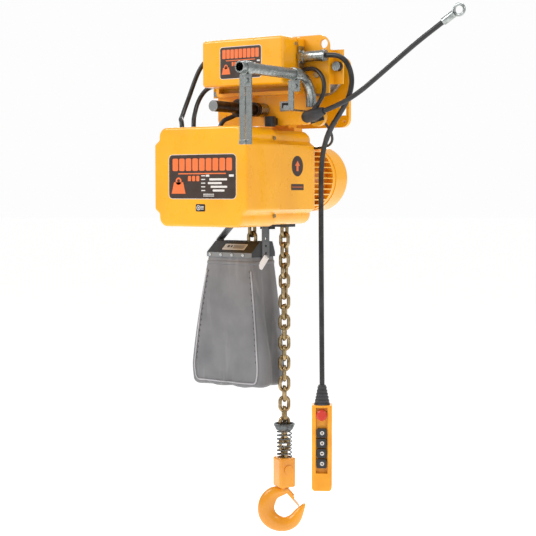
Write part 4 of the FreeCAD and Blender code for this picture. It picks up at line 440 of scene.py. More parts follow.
@dataclass(frozen=True)
class PrintedFilm(Finish):
    """Screen-printed polyester film: a flat ink under clear film, faintly mottled and scuffed."""

    ink: str = "#33231B"
    thin: str = "#3D2B21"
    rough: float = 0.3

    def lay(self, tree: bpy.types.NodeTree, place: bpy.types.NodeSocket, shader: bpy.types.Node) -> None:
        """Adds the ink's mottle and scuffs in the film."""
        mottle = add(tree, "ShaderNodeTexNoise", {"Vector": place, "Scale": per(7), "Detail": 4.0})
        scuff = add(tree, "ShaderNodeTexNoise", {"Vector": place, "Scale": per(30), "Detail": 6.0})
        tree.links.new(self.two_tone(tree, mottle.outputs[0], self.ink, self.thin),
                       shader.inputs["Base Color"])
        tree.links.new(self.within(tree, scuff.outputs[0], self.rough, self.rough + 0.2),
                       shader.inputs["Roughness"])
        bump = add(tree, "ShaderNodeBump",
                   {"Height": scuff.outputs[0], "Strength": 0.05, "Distance": 0.1 * MM})
        tree.links.new(bump.outputs[0], shader.inputs["Normal"])


@dataclass(frozen=True)
class PaleFloor(Finish):
    """Matt painted studio floor: an even pale grey with faint roller marks."""

    def lay(self, tree: bpy.types.NodeTree, place: bpy.types.NodeSocket, shader: bpy.types.Node) -> None:
        """Adds the roller marks."""
        mark = add(tree, "ShaderNodeTexNoise", {"Vector": place, "Scale": 1.2, "Detail": 2.0})
        tree.links.new(self.two_tone(tree, mark.outputs[0], "#F7F7F6", "#FBFBFA"),
                       shader.inputs["Base Color"])
        shader.inputs["Roughness"].default_value = 0.9
        shader.inputs["Emission Color"].default_value = linear("#FFFFFF")
        shader.inputs["Emission Strength"].default_value = 0.53


ENAMEL = GlossEnamel("baked_gloss_enamel")
# its pale edge colour is a painted highlight along every edge, as on the baked enamel
HOOK_ENAMEL = GlossEnamel("dipped_hook_enamel", colour="#F0A20A", shade="#E09008", edge="#FFC557", peel=5.0)
PENDANT_ABS = MouldedPlastic("moulded_yellow_abs")
BLACK_NYLON = MouldedPlastic("moulded_black_nylon", colour="#17181A", shade="#222326", rough=0.34)
RED_ABS = MouldedPlastic("moulded_red_abs", colour="#D8361F", shade="#C62B17", rough=0.28)
ZINC = PlatedSteel("bright_zinc_plate")
RIVET_ZINC = PlatedSteel("bright_rivet_plate", colour="#D9DBDA", patch="#B4B8B8", edge="#F2F3F2", rough=0.2)
# the dark patch colour is partly painted shade, taken from the chain's brown shadows and laid in random
# patches, and partly the film's real cloudiness
CHAIN_PLATE = PlatedSteel("yellow_passivated_zinc", colour="#B59F78", patch="#75603F", edge="#E2D3AE",
                          rough=0.26,
                          patch_size=14.0)
OILED_SPRING = PlatedSteel("oil_tempered_spring", colour="#6D7071", patch="#3E4142", edge="#A5A8A8",
                           rough=0.32)
BROWNED = PlatedSteel("browned_shaft_steel", colour="#4A3C33", patch="#2C2520", edge="#8B7868", rough=0.36)
SAWN_END = TurnedSteel("sawn_bar_end", colour="#8E8F8E", bloom="#75716C")
STEEL = TurnedSteel("turned_steel")
LAMINATIONS = StackedLaminations("varnished_laminations")
BLACK_SHEET = SheetEnamel("black_stoved_enamel")
GREY_SHEET = SheetEnamel("grey_stoved_enamel", colour="#62676B", edge="#A9ADAF", rough=0.4)
RIM_SHEET = SheetEnamel("pale_rim_enamel", colour="#7D8184", edge="#B9BCBE", rough=0.38)
CORD_JACKET = ExtrudedRubber("extruded_cord_jacket")
BOOT_RUBBER = ExtrudedRubber("moulded_boot_rubber", colour="#2A2A2C", dusty="#3D3D40", rough=0.5)
RIBBED_RUBBER = ExtrudedRubber("ribbed_boot_rubber", colour="#303033", dusty="#434347", rough=0.5, ribs=7.0)
CLOTH = CoatedCloth("coated_polyester_cloth")
PIPING = CoatedCloth("folded_edge_piping", colour="#B4B3B7", rubbed="#DDDCDF", soiled="#8F8E92", thread=1.4)
THREAD = CoatedCloth("waxed_thread", colour="#3B3A3D", rubbed="#5B5A5E", soiled="#2C2B2E", thread=1.0)
DARK_FILM = PrintedFilm("dark_brown_film")
ORANGE_INK = PrintedFilm("orange_ink", ink="#E8692F", thin="#F07A3C")
PALE_INK = PrintedFilm("pale_ink", ink="#D9D2CC", thin="#E6E0DB")
GREY_FILM = PrintedFilm("grey_film", ink="#A9ACAD", thin="#B9BCBD")
WHITE_CARD = PrintedFilm("white_card", ink="#E6E7E9", thin="#F2F3F5", rough=0.45)
FLOOR = PaleFloor("pale_floor_paint")


def mesh_piece(name: str, points: list[Vector], faces: list[tuple[int, ...]], finish: Finish, body: str,
               smooth: bool = True) -> bpy.types.Object:
    """Makes a mesh piece that rides on a body.

    Args:
        name: the piece's name.
        points: corners in the frame's own axes, in metres.
        faces: corner numbers of each face.
        finish: what it is made of.
        body: the body it rides on.
        smooth: whether it is shaded smooth.

    Returns:
        The new object.
    """
    data = bpy.data.meshes.new(name)
    data.from_pydata([tuple(p) for p in points], [], faces)
    built = bmesh.new()
    built.from_mesh(data)
    bmesh.ops.recalc_face_normals(built, faces=built.faces)
    built.to_mesh(data)
    built.free()
    data.polygons.foreach_set("use_smooth", [smooth] * len(data.polygons))
    piece = bpy.data.objects.new(name, data)
    bpy.context.scene.collection.objects.link(piece)
    data.materials.append(finish.material())
    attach(piece, body)
    return piece


def tube_shape(path: list[Vector], radii: list[float], sides: int = 12) -> tuple[list[Vector], list[tuple]]:
    """Makes a closed-ended tube's corners and faces.

    Args:
        path: its centreline.
        radii: its radius at each point of the path.
        sides: corners round it.

    Returns:
        Corners and faces.
    """
    points: list[Vector] = []
    across = None
    for i, spot in enumerate(path):
        way = (path[min(i + 1, len(path) - 1)] - path[max(i - 1, 0)]).normalized()
        if across is None:
            across = way.orthogonal().normalized()
        across = (across - way * across.dot(way)).normalized()
        other = way.cross(across)
        for k in range(sides):
            turn = 2 * math.pi * k / sides
            points.append(spot + (across * math.cos(turn) + other * math.sin(turn)) * radii[i])
    faces: list[tuple] = []
    for i in range(len(path) - 1):
        for k in range(sides):
            a, b = i * sides + k, i * sides + (k + 1) % sides
            faces.append((a, b, b + sides, a + sides))
    faces.append(tuple(range(sides)))
    faces.append(tuple(range((len(path) - 1) * sides, len(path) * sides)))
    return points, faces


def rounded(width: float, height: float, radius: float, steps: int = 5) -> list[tuple[float, float]]:
    """Returns the outline of a rectangle with round corners, centred on nothing, in the same units."""
    outline = []
    for corner, (sx, sy) in enumerate(((1, 1), (-1, 1), (-1, -1), (1, -1))):
        for k in range(steps + 1):
            turn = math.pi / 2 * (corner + k / steps)
            outline.append((sx * (width / 2 - radius) + radius * math.cos(turn),
                            sy * (height / 2 - radius) + radius * math.sin(turn)))
    return outline


def disc(radius: float, steps: int = 40) -> list[tuple[float, float]]:
    """Returns a circle's outline."""
    return [(radius * math.cos(2 * math.pi * k / steps), radius * math.sin(2 * math.pi * k / steps))
            for k in range(steps)]


@dataclass
class Mark:
    """One printed shape on a label: an outline in millimetres, moved to its place."""

    outline: list[tuple[float, float]]
    ink: Finish
    right: float = 0.0
    up: float = 0.0
    lift: float = 0.35  # millimetres above the label's own seat


def bar(right: float, up: float, width: float, height: float, ink: Finish, lift: float = 0.5) -> Mark:
    """Returns a printed bar with slightly round corners, centred on its place."""
    return Mark(rounded(width, height, min(width, height) * 0.22, 3), ink, right, up, lift)


@dataclass
class Label:
    """A printed film that sits on a face: its marks are stacked slabs, each a hair above the last."""

    name: str
    node: str
    body: str
    slot: str
    start: Vector
    way: Vector
    across: Vector
    marks: list[Mark] = field(default_factory=list)

    def seat(self) -> tuple[Vector, Vector, Vector, Vector]:
        """Finds the face below the label.

        Returns:
            The place on the face, and the label's right, up and outward directions.
        """
        hit, spot, normal, _ = bpy.data.objects[self.node].ray_cast(self.start, self.way)
        if not hit:
            raise RuntimeError(f"{self.name} meets no face of {self.node}")
        right = (self.across - normal * self.across.dot(normal)).normalized()
        return spot, right, normal.cross(right).normalized(), normal

    def build(self) -> list[bpy.types.Object]:
        """Builds every ink of the label as one mesh each.

        Returns:
            The label's pieces.
        """
        spot, right, up, out = self.seat()
        shapes: dict[str, tuple[Finish, list[Vector], list[tuple]]] = {}
        for mark in self.marks:
            _, points, faces = shapes.setdefault(mark.ink.name, (mark.ink, [], []))
            first, count = len(points), len(mark.outline)
            for lift in (mark.lift, -0.2):
                for a, b in mark.outline:
                    points.append(spot + (right * (mark.right + a) + up * (mark.up + b) + out * lift) * MM)
            faces.append(tuple(range(first, first + count)))
            faces.append(tuple(range(first + 2 * count - 1, first + count - 1, -1)))
            faces += [(first + k, first + count + k, first + count + (k + 1) % count, first + (k + 1) % count)
                      for k in range(count)]
        made = [mesh_piece(f"{self.name}_{ink}", points, faces, finish, self.body, smooth=False)
                for ink, (finish, points, faces) in shapes.items()]
        LOG.info("%s: %d inks", self.name, len(made))
        return made


def heading(width: float, height: float, up: float, count: int) -> list[Mark]:
    """Returns a heading of plain blocks with a thin rule below it, in place of any words."""
    gap = width * 0.018
    block = (width - gap * (count - 1)) / count
    marks = [bar(-width / 2 + block / 2 + i * (block + gap), up, block, height, ORANGE_INK)
             for i in range(count)]
    marks.append(bar(0, up - height * 0.72, width * 0.8, height * 0.09, ORANGE_INK))
    return marks


def rating_panel(width: float, height: float) -> list[Mark]:
    """Prints a rating panel: a border, a heading, a plain weight symbol and a table of bars.

    Args:
        width: the label's width in millimetres.
        height: the label's height in millimetres.

    Returns:
        The panel's marks.
    """
    weight = [(-1.0, -0.8), (1.0, -0.8), (0.66, 0.5), (-0.66, 0.5)]
    unit = width * 0.105
    marks = [Mark(rounded(width, height, width * 0.055), PALE_INK, lift=0.2),
             Mark(rounded(width - 2.6, height - 2.6, width * 0.05), DARK_FILM, lift=0.35)]
    marks += heading(width * 0.88, height * 0.28, height * 0.27, 9)
    marks.append(Mark([(a * unit, b * unit) for a, b in weight], ORANGE_INK, -width * 0.35, -height * 0.22,
                      0.5))
    marks.append(Mark(disc(unit * 0.42), ORANGE_INK, -width * 0.35, -height * 0.22 + unit * 0.62, 0.5))
    marks.append(Mark(disc(unit * 0.2), DARK_FILM, -width * 0.35, -height * 0.22 + unit * 0.66, 0.65))
    marks += [bar(-width * (0.185 - 0.062 * i), -height * 0.04, width * 0.045, height * 0.12, ORANGE_INK)
              for i in range(3)]
    for row, (left, long) in enumerate(((0.06, 0.05), (0.11, 0.26), (0.09, 0.2), (0.13, 0.24), (0.16, 0.17))):
        rise = height * (0.02 - 0.082 * row)
        marks.append(bar(width * (left + long / 2), rise, width * long, height * 0.045, PALE_INK))
        marks.append(bar(width * 0.02, rise, width * 0.06, height * 0.022, PALE_INK))
    marks.append(bar(width * 0.43, height * 0.02, width * 0.07, height * 0.05, PALE_INK))
    marks += [bar(width * 0.1, -height * (0.39 + 0.04 * i), width * 0.16, height * 0.016, PALE_INK)
              for i in range(2)]
    return marks


class FarEnd(Enum):
    """What a cord runs into."""

    OBJECT = "object"
    FITTING = "fitting"


@dataclass
class Cord:
    """A rubber-jacketed cord on one smooth route."""

    name: str
    node: str
    body: str
    radius: float  # millimetres
    length: float  # metres
    route: list[tuple[float, float, float]]  # millimetres, from its exit
    far_end: FarEnd = FarEnd.OBJECT
    lay: str = "hanging"
    fittings: list[str] = field(default_factory=list)

    def build(self) -> bpy.types.Object:
        line = bpy.data.curves.new(self.name, "CURVE")
        line.dimensions = "3D"
        line.bevel_depth = self.radius * MM
        line.bevel_resolution = 6
        line.resolution_u = 16
        line.use_fill_caps = True
        spline = line.splines.new("NURBS")
        spline.points.add(len(self.route) - 1)
        for point, spot in zip(spline.points, self.route):
            point.co = (*(c * MM for c in spot), 1.0)
        spline.order_u = 3
        spline.use_endpoint_u = True
        line.materials.append(CORD_JACKET.material())
        cord = bpy.data.objects.new(self.name, line)
        bpy.context.scene.collection.objects.link(cord)
        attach(cord, self.body)
        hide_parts(self.node)
        LOG.info("%s: %.3f m", self.name, self.length)
        return cord

    def declare(self, cord: bpy.types.Object, extra: list[bpy.types.Object]) -> None:
        """Args:
            cord: the cord's object; not used.
            extra: new pieces that sit on it; not used.
        """


def line_of(cord: bpy.types.Object) -> list[Vector]:
    """Returns the points that a cord's spline passes through, read from the spline itself."""
    bare = cord.copy()
    bare.data = cord.data.copy()
    bare.data.bevel_depth = 0.0
    bare.parent = None
    bare.matrix_world = Matrix.Identity(4)
    mesh = bpy.data.meshes.new_from_object(bare)
    points = [v.co.copy() for v in mesh.vertices]
    bpy.data.meshes.remove(mesh)
    bpy.data.objects.remove(bare)
    return points


@dataclass
class Wiring:
    """The supply cord, the pendant's cord and the cables between trolley and hoist."""

    entry_y: float = -118.5  # the plane of the cable entries in the trolley's box
    inside_x: float = -116.0  # where the two side cables start, inside the box

    def cords(self) -> list[Cord]:
        """Returns every cord with its route."""
        entry, inside = self.entry_y, self.inside_x
        return [
            Cord("lead_to_inlet", "jumper_lead", "trolley", 5.5, 0.160, [
                (131, -118, 46), (150, -118, 50), (172, -121, 48), (193, -126, 36), (207, -131, 15),
                (211, -136, -9), (204, -139, -31), (191, -140, -48)]),
            Cord("supply_cable", "supply_cord", "trolley", 6.25, 0.390, [
                (212.26, -140, -60.8), (258, -140, -47), (312, -140, -21), (368, -140, 18), (428, -140, 61),
                (488, -140, 103), (545, -140, 138)], FarEnd.FITTING, "taut", ["supply_hanger"]),
            Cord("pendant_cable", "pendant_cord", "trolley", 6.5, 0.917, [
                (208, -123, 80), (236, -123, 80), (260, -121, 69), (275, -118, 45), (280, -115, 15),
                (273, -112, -16), (256, -109, -46), (233, -106, -74), (210, -104, -103), (193, -102, -137),
                (182, -101, -180), (178, -100, -255), (184, -100, -763)]),
            Cord("brake_cable", "cable_rear", "hoist", 6.0, 0.312, [
                (inside, entry, 95), (-150, entry, 95.5), (-173, -120, 89), (-191, -127, 65),
                (-200, -140, 28),
                (-203, -158, -12), (-200, -181, -44), (-189, -206, -66), (-177, -228, -74), (-161, -243, -81),
                (-158, -246, -99)]),
            Cord("control_cable", "cable_front", "hoist", 6.0, 0.217, [
                (inside, entry, 20), (-148, entry, 19.5), (-172, -122, 11), (-184, -132, -9),
                (-183, -150, -33),
                (-172, -172, -54), (-157, -196, -68), (-145, -213, -80), (-143, -216, -99)]),
            Cord("power_cable", "cable_under", "hoist", 6.0, 0.133, [
                (-38, entry, -3), (-38.5, entry, -24), (-45, -121, -44), (-60, -128, -59), (-79, -142, -69),
                (-95, -158, -79), (-98, -162, -99)]),
            Cord("motor_cable", "cable_side", "hoist", 3.5, 0.184, [
                (150, -85.5, -74), (151, -66, -74.5), (156, -46, -84), (161, -26, -104), (158, -8, -125),
                (142, 6, -140), (114, 16, -147), (84, 20, -148)]),
        ]

    def sleeve(self, cord: bpy.types.Object, high: float, low: float) -> bpy.types.Object:
        """Builds the short heat-shrunk sleeve that ties the pendant's cord to its strain wire.

        Args:
            cord: the pendant's cord.
            high: height of its upper end in metres.
            low: height of its lower end in metres.

        Returns:
            The sleeve.
        """
        path = [p for p in line_of(cord) if low <= p.z <= high]
        radii = [7.1 * MM] * len(path)
        radii[0] = radii[-1] = 6.6 * MM
        points, faces = tube_shape(path, radii, 16)
        return mesh_piece("cord_sleeve", points, faces, BOOT_RUBBER, "trolley")

    def build(self) -> None:
        """Builds every cord, and the pendant cord's sleeve."""
        for cord in self.cords():
            made = cord.build()
            extra = [self.sleeve(made, -0.085, -0.135)] if cord.node == "pendant_cord" else []
            cord.declare(made, extra)


@dataclass
class ChainBag:
    """The cloth bag that holds the slack chain: four sewn panels that spread, sag and fold at the sides."""

    rows: int = 46  # rows of cloth from the mouth to the bottom's turn
    turn_rows: int = 8  # rows round the bottom's turn
    floor_rows: int = 7
    front_steps: int = 30
    side_steps: int = 16
    corner_steps: int = 4
    drop: float = 0.342  # metres from the mouth to where the bottom starts to turn
    widest: float = 0.3  # metres from the mouth to the bag's widest row
    tuck: float = 9.0  # millimetres that the cloth reaches up inside the frame
    cloth: float = 1.2  # millimetres
    bulge: float = 9.0  # millimetres that the filled cloth stands out past its frame's line
    piping: float = 2.0  # radius in millimetres
    flat: tuple[float, float] = (0.72, 0.42)  # metres; the blank that the panels and bottom are cut from
    area: float = 0.2545  # square metres of cloth in the panels and the bottom
    stitch: float = 9.0  # millimetres; real stitches are 4 long, drawn coarser so that they show
    grid: list[list[Vector]] = field(default_factory=list)

    def spans(self, t: float) -> tuple[float, float, float, float, float]:
        """Gives the bag's plan at a height.

        Args:
            t: 0 at the mouth, 1 where the bottom starts to turn.

        Returns:
            Left, right, near and far edges and the corner's radius, in metres.
        """
        frame_low, frame_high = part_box("bag_frame")
        bag_low, bag_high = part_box("chain_bag")
        down = t * self.drop
        if down < self.widest:
            share = 1 - (1 - down / self.widest) ** 1.25
        else:
            share = 1.0 - 0.06 * ((down - self.widest) / (self.drop - self.widest)) ** 2
        left, right = (frame_low.x - bag_low.x) * share, (bag_high.x - frame_high.x) * share
        proud = self.bulge * MM * share
        return (frame_low.x + 0.002 - left - proud, frame_high.x - 0.002 + right + proud * 0.3,
                frame_low.y + 0.002 + proud * 0.2, frame_high.y - 0.002 + right * 0.28,
                0.006 + 0.012 * min(1.0, t * 1.3))

    def ring(self, left: float, right: float, near: float, far: float, corner: float,
             z: float) -> list[tuple[str, float, Vector]]:
        """Walks once round the bag's plan, starting at the front left.

        Args:
            left: left edge.
            right: right edge.
            near: near edge.
            far: far edge.
            corner: radius of the corners.
            z: height.

        Returns:
            The panel, the share of the way along it, and the place of each corner.
        """
        walk: list[tuple[str, float, Vector]] = []
        sides = (("front", self.front_steps, (left + corner, near), (right - corner, near), -90),
                 ("right", self.side_steps, (right, near + corner), (right, far - corner), 0),
                 ("back", self.front_steps, (right - corner, far), (left + corner, far), 90),
                 ("left", self.side_steps, (left, far - corner), (left, near + corner), 180))
        centres = {"front": (right - corner, near + corner), "right": (right - corner, far - corner),
                   "back": (left + corner, far - corner), "left": (left + corner, near + corner)}
        for panel, steps, start, end, facing in sides:
            for k in range(steps + 1):
                s = k / steps
                walk.append((panel, s, Vector((start[0] + (end[0] - start[0]) * s,
                                               start[1] + (end[1] - start[1]) * s, z))))
            for k in range(1, self.corner_steps):
                turn = math.radians(facing + 90 * k / self.corner_steps)
                cx, cy = centres[panel]
                walk.append((panel + "_corner", k / self.corner_steps,
                             Vector((cx + corner * math.cos(turn), cy + corner * math.sin(turn), z))))
        return walk

    def fold(self, panel: str, s: float, t: float, spot: Vector) -> Vector:
        """Works out how far the cloth stands in or out at a place.

        Args:
            panel: the panel's name.
            s: share of the way along the panel.
            t: share of the way down.
            spot: the place before folding.

        Returns:
            The shift in metres.
        """
        ramp = min(1.0, t * 2.2)
        rough = noise.noise(Vector((spot.x * 22, spot.y * 22, spot.z * 9))) * 2.0 * ramp
        edge = math.sin(math.pi * min(max(s, 0.0), 1.0))
        if panel == "front":
            pleats = (2.0 * math.exp(-((s - 0.26) / 0.03) ** 2) * math.exp(-((t - 0.15) / 0.22) ** 2)
                      + 1.2 * math.exp(-((s - 0.84) / 0.04) ** 2)
                      - 1.2 * math.exp(-((s - 0.5 - 0.1 * t) / 0.08) ** 2) * t)
            ripple = 2.0 * t * math.sin(7 * s + 3 * t)
            depth = (pleats * min(1.0, t * 4) + rough * 1.1 + ripple) * edge - 2.2 * edge
            low = 2.6 * max(0.0, t - 0.78) / 0.22 * math.sin(31 * s) * edge
            return Vector((0, -(depth + low) * MM, 0))
        if panel == "back":
            depth = (rough * 1.5 + 1.8 * t * math.sin(7 * s)) * edge - 2.0 * edge
            return Vector((0, depth * MM, 0))
        if panel in ("right", "left"):
            gusset = -15.0 * ramp * math.exp(-((s - 0.47) / 0.2) ** 2) * (1 - 0.55 * max(0.0, t - 0.6) / 0.4)
            crease = (2.2 * math.exp(-((s - 0.3 - 0.08 * t) / 0.045) ** 2)
                      - 2.4 * math.exp(-((s - 0.66) / 0.05) ** 2)) * ramp
            depth = gusset + crease + rough * edge
            return Vector((depth * MM * (1 if panel == "right" else -1), 0, 0))
        return Vector((0, 0, 0))

    def weave_grid(self) -> None:
        """Works out every row of the shell, from the mouth to the middle of its bottom."""
        frame_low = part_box("bag_frame")[0]
        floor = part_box("chain_bag")[0].z
        mouth = frame_low.z
        turn_z = mouth - self.drop
        for i in range(self.rows + 1):
            t = i / self.rows
            z = mouth + self.tuck * MM - t * (self.drop + self.tuck * MM)
            plan = self.spans(max(0.0, (mouth - z) / self.drop))
            self.grid.append([p + self.fold(panel, s, t, p) for panel, s, p in self.ring(*plan, z)])
        last = self.grid[-1]
        middle = sum(last, Vector()) / len(last)
        drop = turn_z - floor - 0.004
        for i in range(1, self.turn_rows + 1):
            turn = math.pi / 2 * i / self.turn_rows
            pull = 1 - 0.17 * (1 - math.cos(turn))
            row = []
            for p in last:
                flat = middle + (p - middle) * pull
                sag = 0.004 * math.sin(8 * flat.x / 0.1) * math.sin(turn)
                row.append(Vector((flat.x, flat.y, turn_z - drop * math.sin(turn) * 0.86 + sag * 0.5)))
            self.grid.append(row)
        rim = self.grid[-1]
        for i in range(1, self.floor_rows + 1):
            share = 1 - i / (self.floor_rows + 0.5)
            self.grid.append([Vector((middle.x + (p.x - middle.x) * share,
                                      middle.y + (p.y - middle.y) * share,
                                      p.z - 0.14 * drop * (1 - share ** 2))) for p in rim])

    def shell(self) -> bpy.types.Object:
        """Builds the cloth with its thickness, and lets it stand for the plain bag."""
        self.weave_grid()
        around = len(self.grid[0])
        points = [p for row in self.grid for p in row]
        faces = [(i * around + k, i * around + (k + 1) % around, (i + 1) * around + (k + 1) % around,
                  (i + 1) * around + k) for i in range(len(self.grid) - 1) for k in range(around)]
        points.append(sum(self.grid[-1], Vector()) / around)
        last = (len(self.grid) - 1) * around
        faces += [(last + k, last + (k + 1) % around, len(points) - 1) for k in range(around)]
        bag = mesh_piece("chain_bag_cloth", points, faces, CLOTH, "hoist")
        if sum(f.normal.dot(f.center - points[-1]) for f in bag.data.polygons) < 0:
            bag.data.flip_normals()
        thick = bag.modifiers.new("thickness", "SOLIDIFY")
        thick.thickness = self.cloth * MM
        thick.offset = -1.0
        fine = bag.modifiers.new("smooth", "SUBSURF")
        fine.levels = fine.render_levels = 1
        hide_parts("chain_bag")
        return bag

    def seam_path(self, panel: str) -> list[Vector]:
        """Follows the seam down one edge of the front panel and along its foot to the middle.

        Args:
            panel: which edge, "left" or "right".

        Returns:
            The seam's path, just proud of the cloth.
        """
        column = self.front_steps if panel == "right" else 0
        out = Vector((0.35 if panel == "right" else -0.35, -1.0, 0)).normalized() * self.piping * MM * 0.7
        skip = 6
        path = [row[column] + out for row in self.grid[skip:self.rows - 3]]
        foot = self.grid[self.rows + 1]
        inner = range(self.front_steps - 1, self.front_steps // 2 - 1, -1) if panel == "right" else range(
            1, self.front_steps // 2 + 1)
        lower = [foot[k] + Vector((0, -self.piping * MM * 0.9, 0.001)) for k in inner]
        corner = [self.grid[r][column].lerp(foot[inner[0]], w) + out
                  for r, w in ((self.rows - 2, 0.08), (self.rows - 1, 0.25), (self.rows, 0.6))]
        return path + corner + lower

    def piped_edge(self, panel: str) -> None:
        """Builds the piping on a seam, and the row of stitches beside it."""
        path = self.seam_path(panel)
        for _ in range(3):
            path = [path[0]] + [(a + b * 2 + c) / 4 for a, b, c in zip(path, path[1:], path[2:])] + [path[-1]]
        points, faces = tube_shape(path, [self.piping * MM] * len(path), 10)
        mesh_piece(f"bag_piping_{panel}", points, faces, PIPING, "hoist")
        inward = Vector((-5.5 if panel == "right" else 5.5, 0.6, 0)) * MM
        every: list[Vector] = []
        sides: list[tuple] = []
        walked, due = 0.0, 0.0
        for a, b in zip(path[:self.rows - 12], path[1:]):
            walked += (b - a).length
            if walked < due:
                continue
            due = walked + self.stitch * MM
            way = (b - a).normalized()
            ends = [a + inward, a + inward + way * 5.5 * MM]
            shape, rims = tube_shape([ends[0], ends[0].lerp(ends[1], 0.3), ends[0].lerp(ends[1], 0.7),
                                      ends[1]],
                                     [0.35 * MM, 0.75 * MM, 0.75 * MM, 0.35 * MM], 6)
            sides += [tuple(i + len(every) for i in face) for face in rims]
            every += shape
        mesh_piece(f"bag_stitches_{panel}", every, sides, THREAD, "hoist")

    def hem(self) -> None:
        """Builds the folded hem that lies round the mouth just below the frame's rim."""
        row = self.grid[3]
        middle = sum(row, Vector()) / len(row)
        loop = [p + (Vector((p.x, p.y, 0)) - Vector((middle.x, middle.y, 0))).normalized() * 0.6 * MM
                for p in row]
        points: list[Vector] = []
        for dz, grow in ((2.5, 0.0), (1.5, 1.0), (-5.0, 1.1), (-6.5, 0.0)):
            points += [p + Vector((p.x - middle.x, p.y - middle.y, 0)).normalized() * grow * MM
                       + Vector((0, 0, dz * MM)) for p in loop]
        around = len(loop)
        faces = [(i * around + k, i * around + (k + 1) % around, ((i + 1) % 4) * around + (k + 1) % around,
                  ((i + 1) % 4) * around + k) for i in range(4) for k in range(around)]
        mesh_piece("bag_hem", points, faces, CLOTH, "hoist")

    def build(self) -> None:
        """Builds the bag with its piping, stitches and hem, and logs its cloth's area."""
        bag = self.shell()
        for panel in ("left", "right"):
            self.piped_edge(panel)
        self.hem()
        cloth = sum(f.area for f in bag.data.polygons)
        LOG.info("chain bag: %.3f square metres of cloth", cloth)


@dataclass
class WireTag:
    """The card tag that hangs from the perforated strap."""

    width: float = 17.0
    height: float = 40.0
    tilt: float = 36.0  # degrees from upright

    def build(self) -> None:
        """Builds the card with its eyelet, turned out from the strap."""
        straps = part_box("bag_straps")
        hang = Vector((straps[1].x + 7.0 * MM, (straps[0].y + straps[1].y) / 2 - 9 * MM,
                       straps[0].z + 5 * MM))
        lean = math.radians(self.tilt)
        out = Vector((0.86, -0.5, 0.08)).normalized()
        level = UP.cross(out).normalized()
        right = level * math.cos(lean) - out.cross(level) * math.sin(lean)
        up = out.cross(right)
        outline = rounded(self.width, self.height, 3, 4)
        points = [hang + (right * a + up * (b - self.height / 2 + 3) + out * lift) * MM
                  for lift in (0.4, -0.4) for a, b in outline]
        count = len(outline)
        faces = [tuple(range(count)), tuple(range(2 * count - 1, count - 1, -1))]
        faces += [(k, count + k, count + (k + 1) % count, (k + 1) % count) for k in range(count)]
        mesh_piece("wire_tag_card", points, faces, WHITE_CARD, "hoist", smooth=False)
        loop = [hang + (up * (2 + 4 * math.cos(a)) + right * 4 * math.sin(a) + out * 0.9) * MM
                for a in (2 * math.pi * k / 24 for k in range(24))]
        points, faces = tube_shape(loop, [0.5 * MM] * len(loop), 6)
        mesh_piece("wire_tag_ring", points, faces, RIVET_ZINC, "hoist")


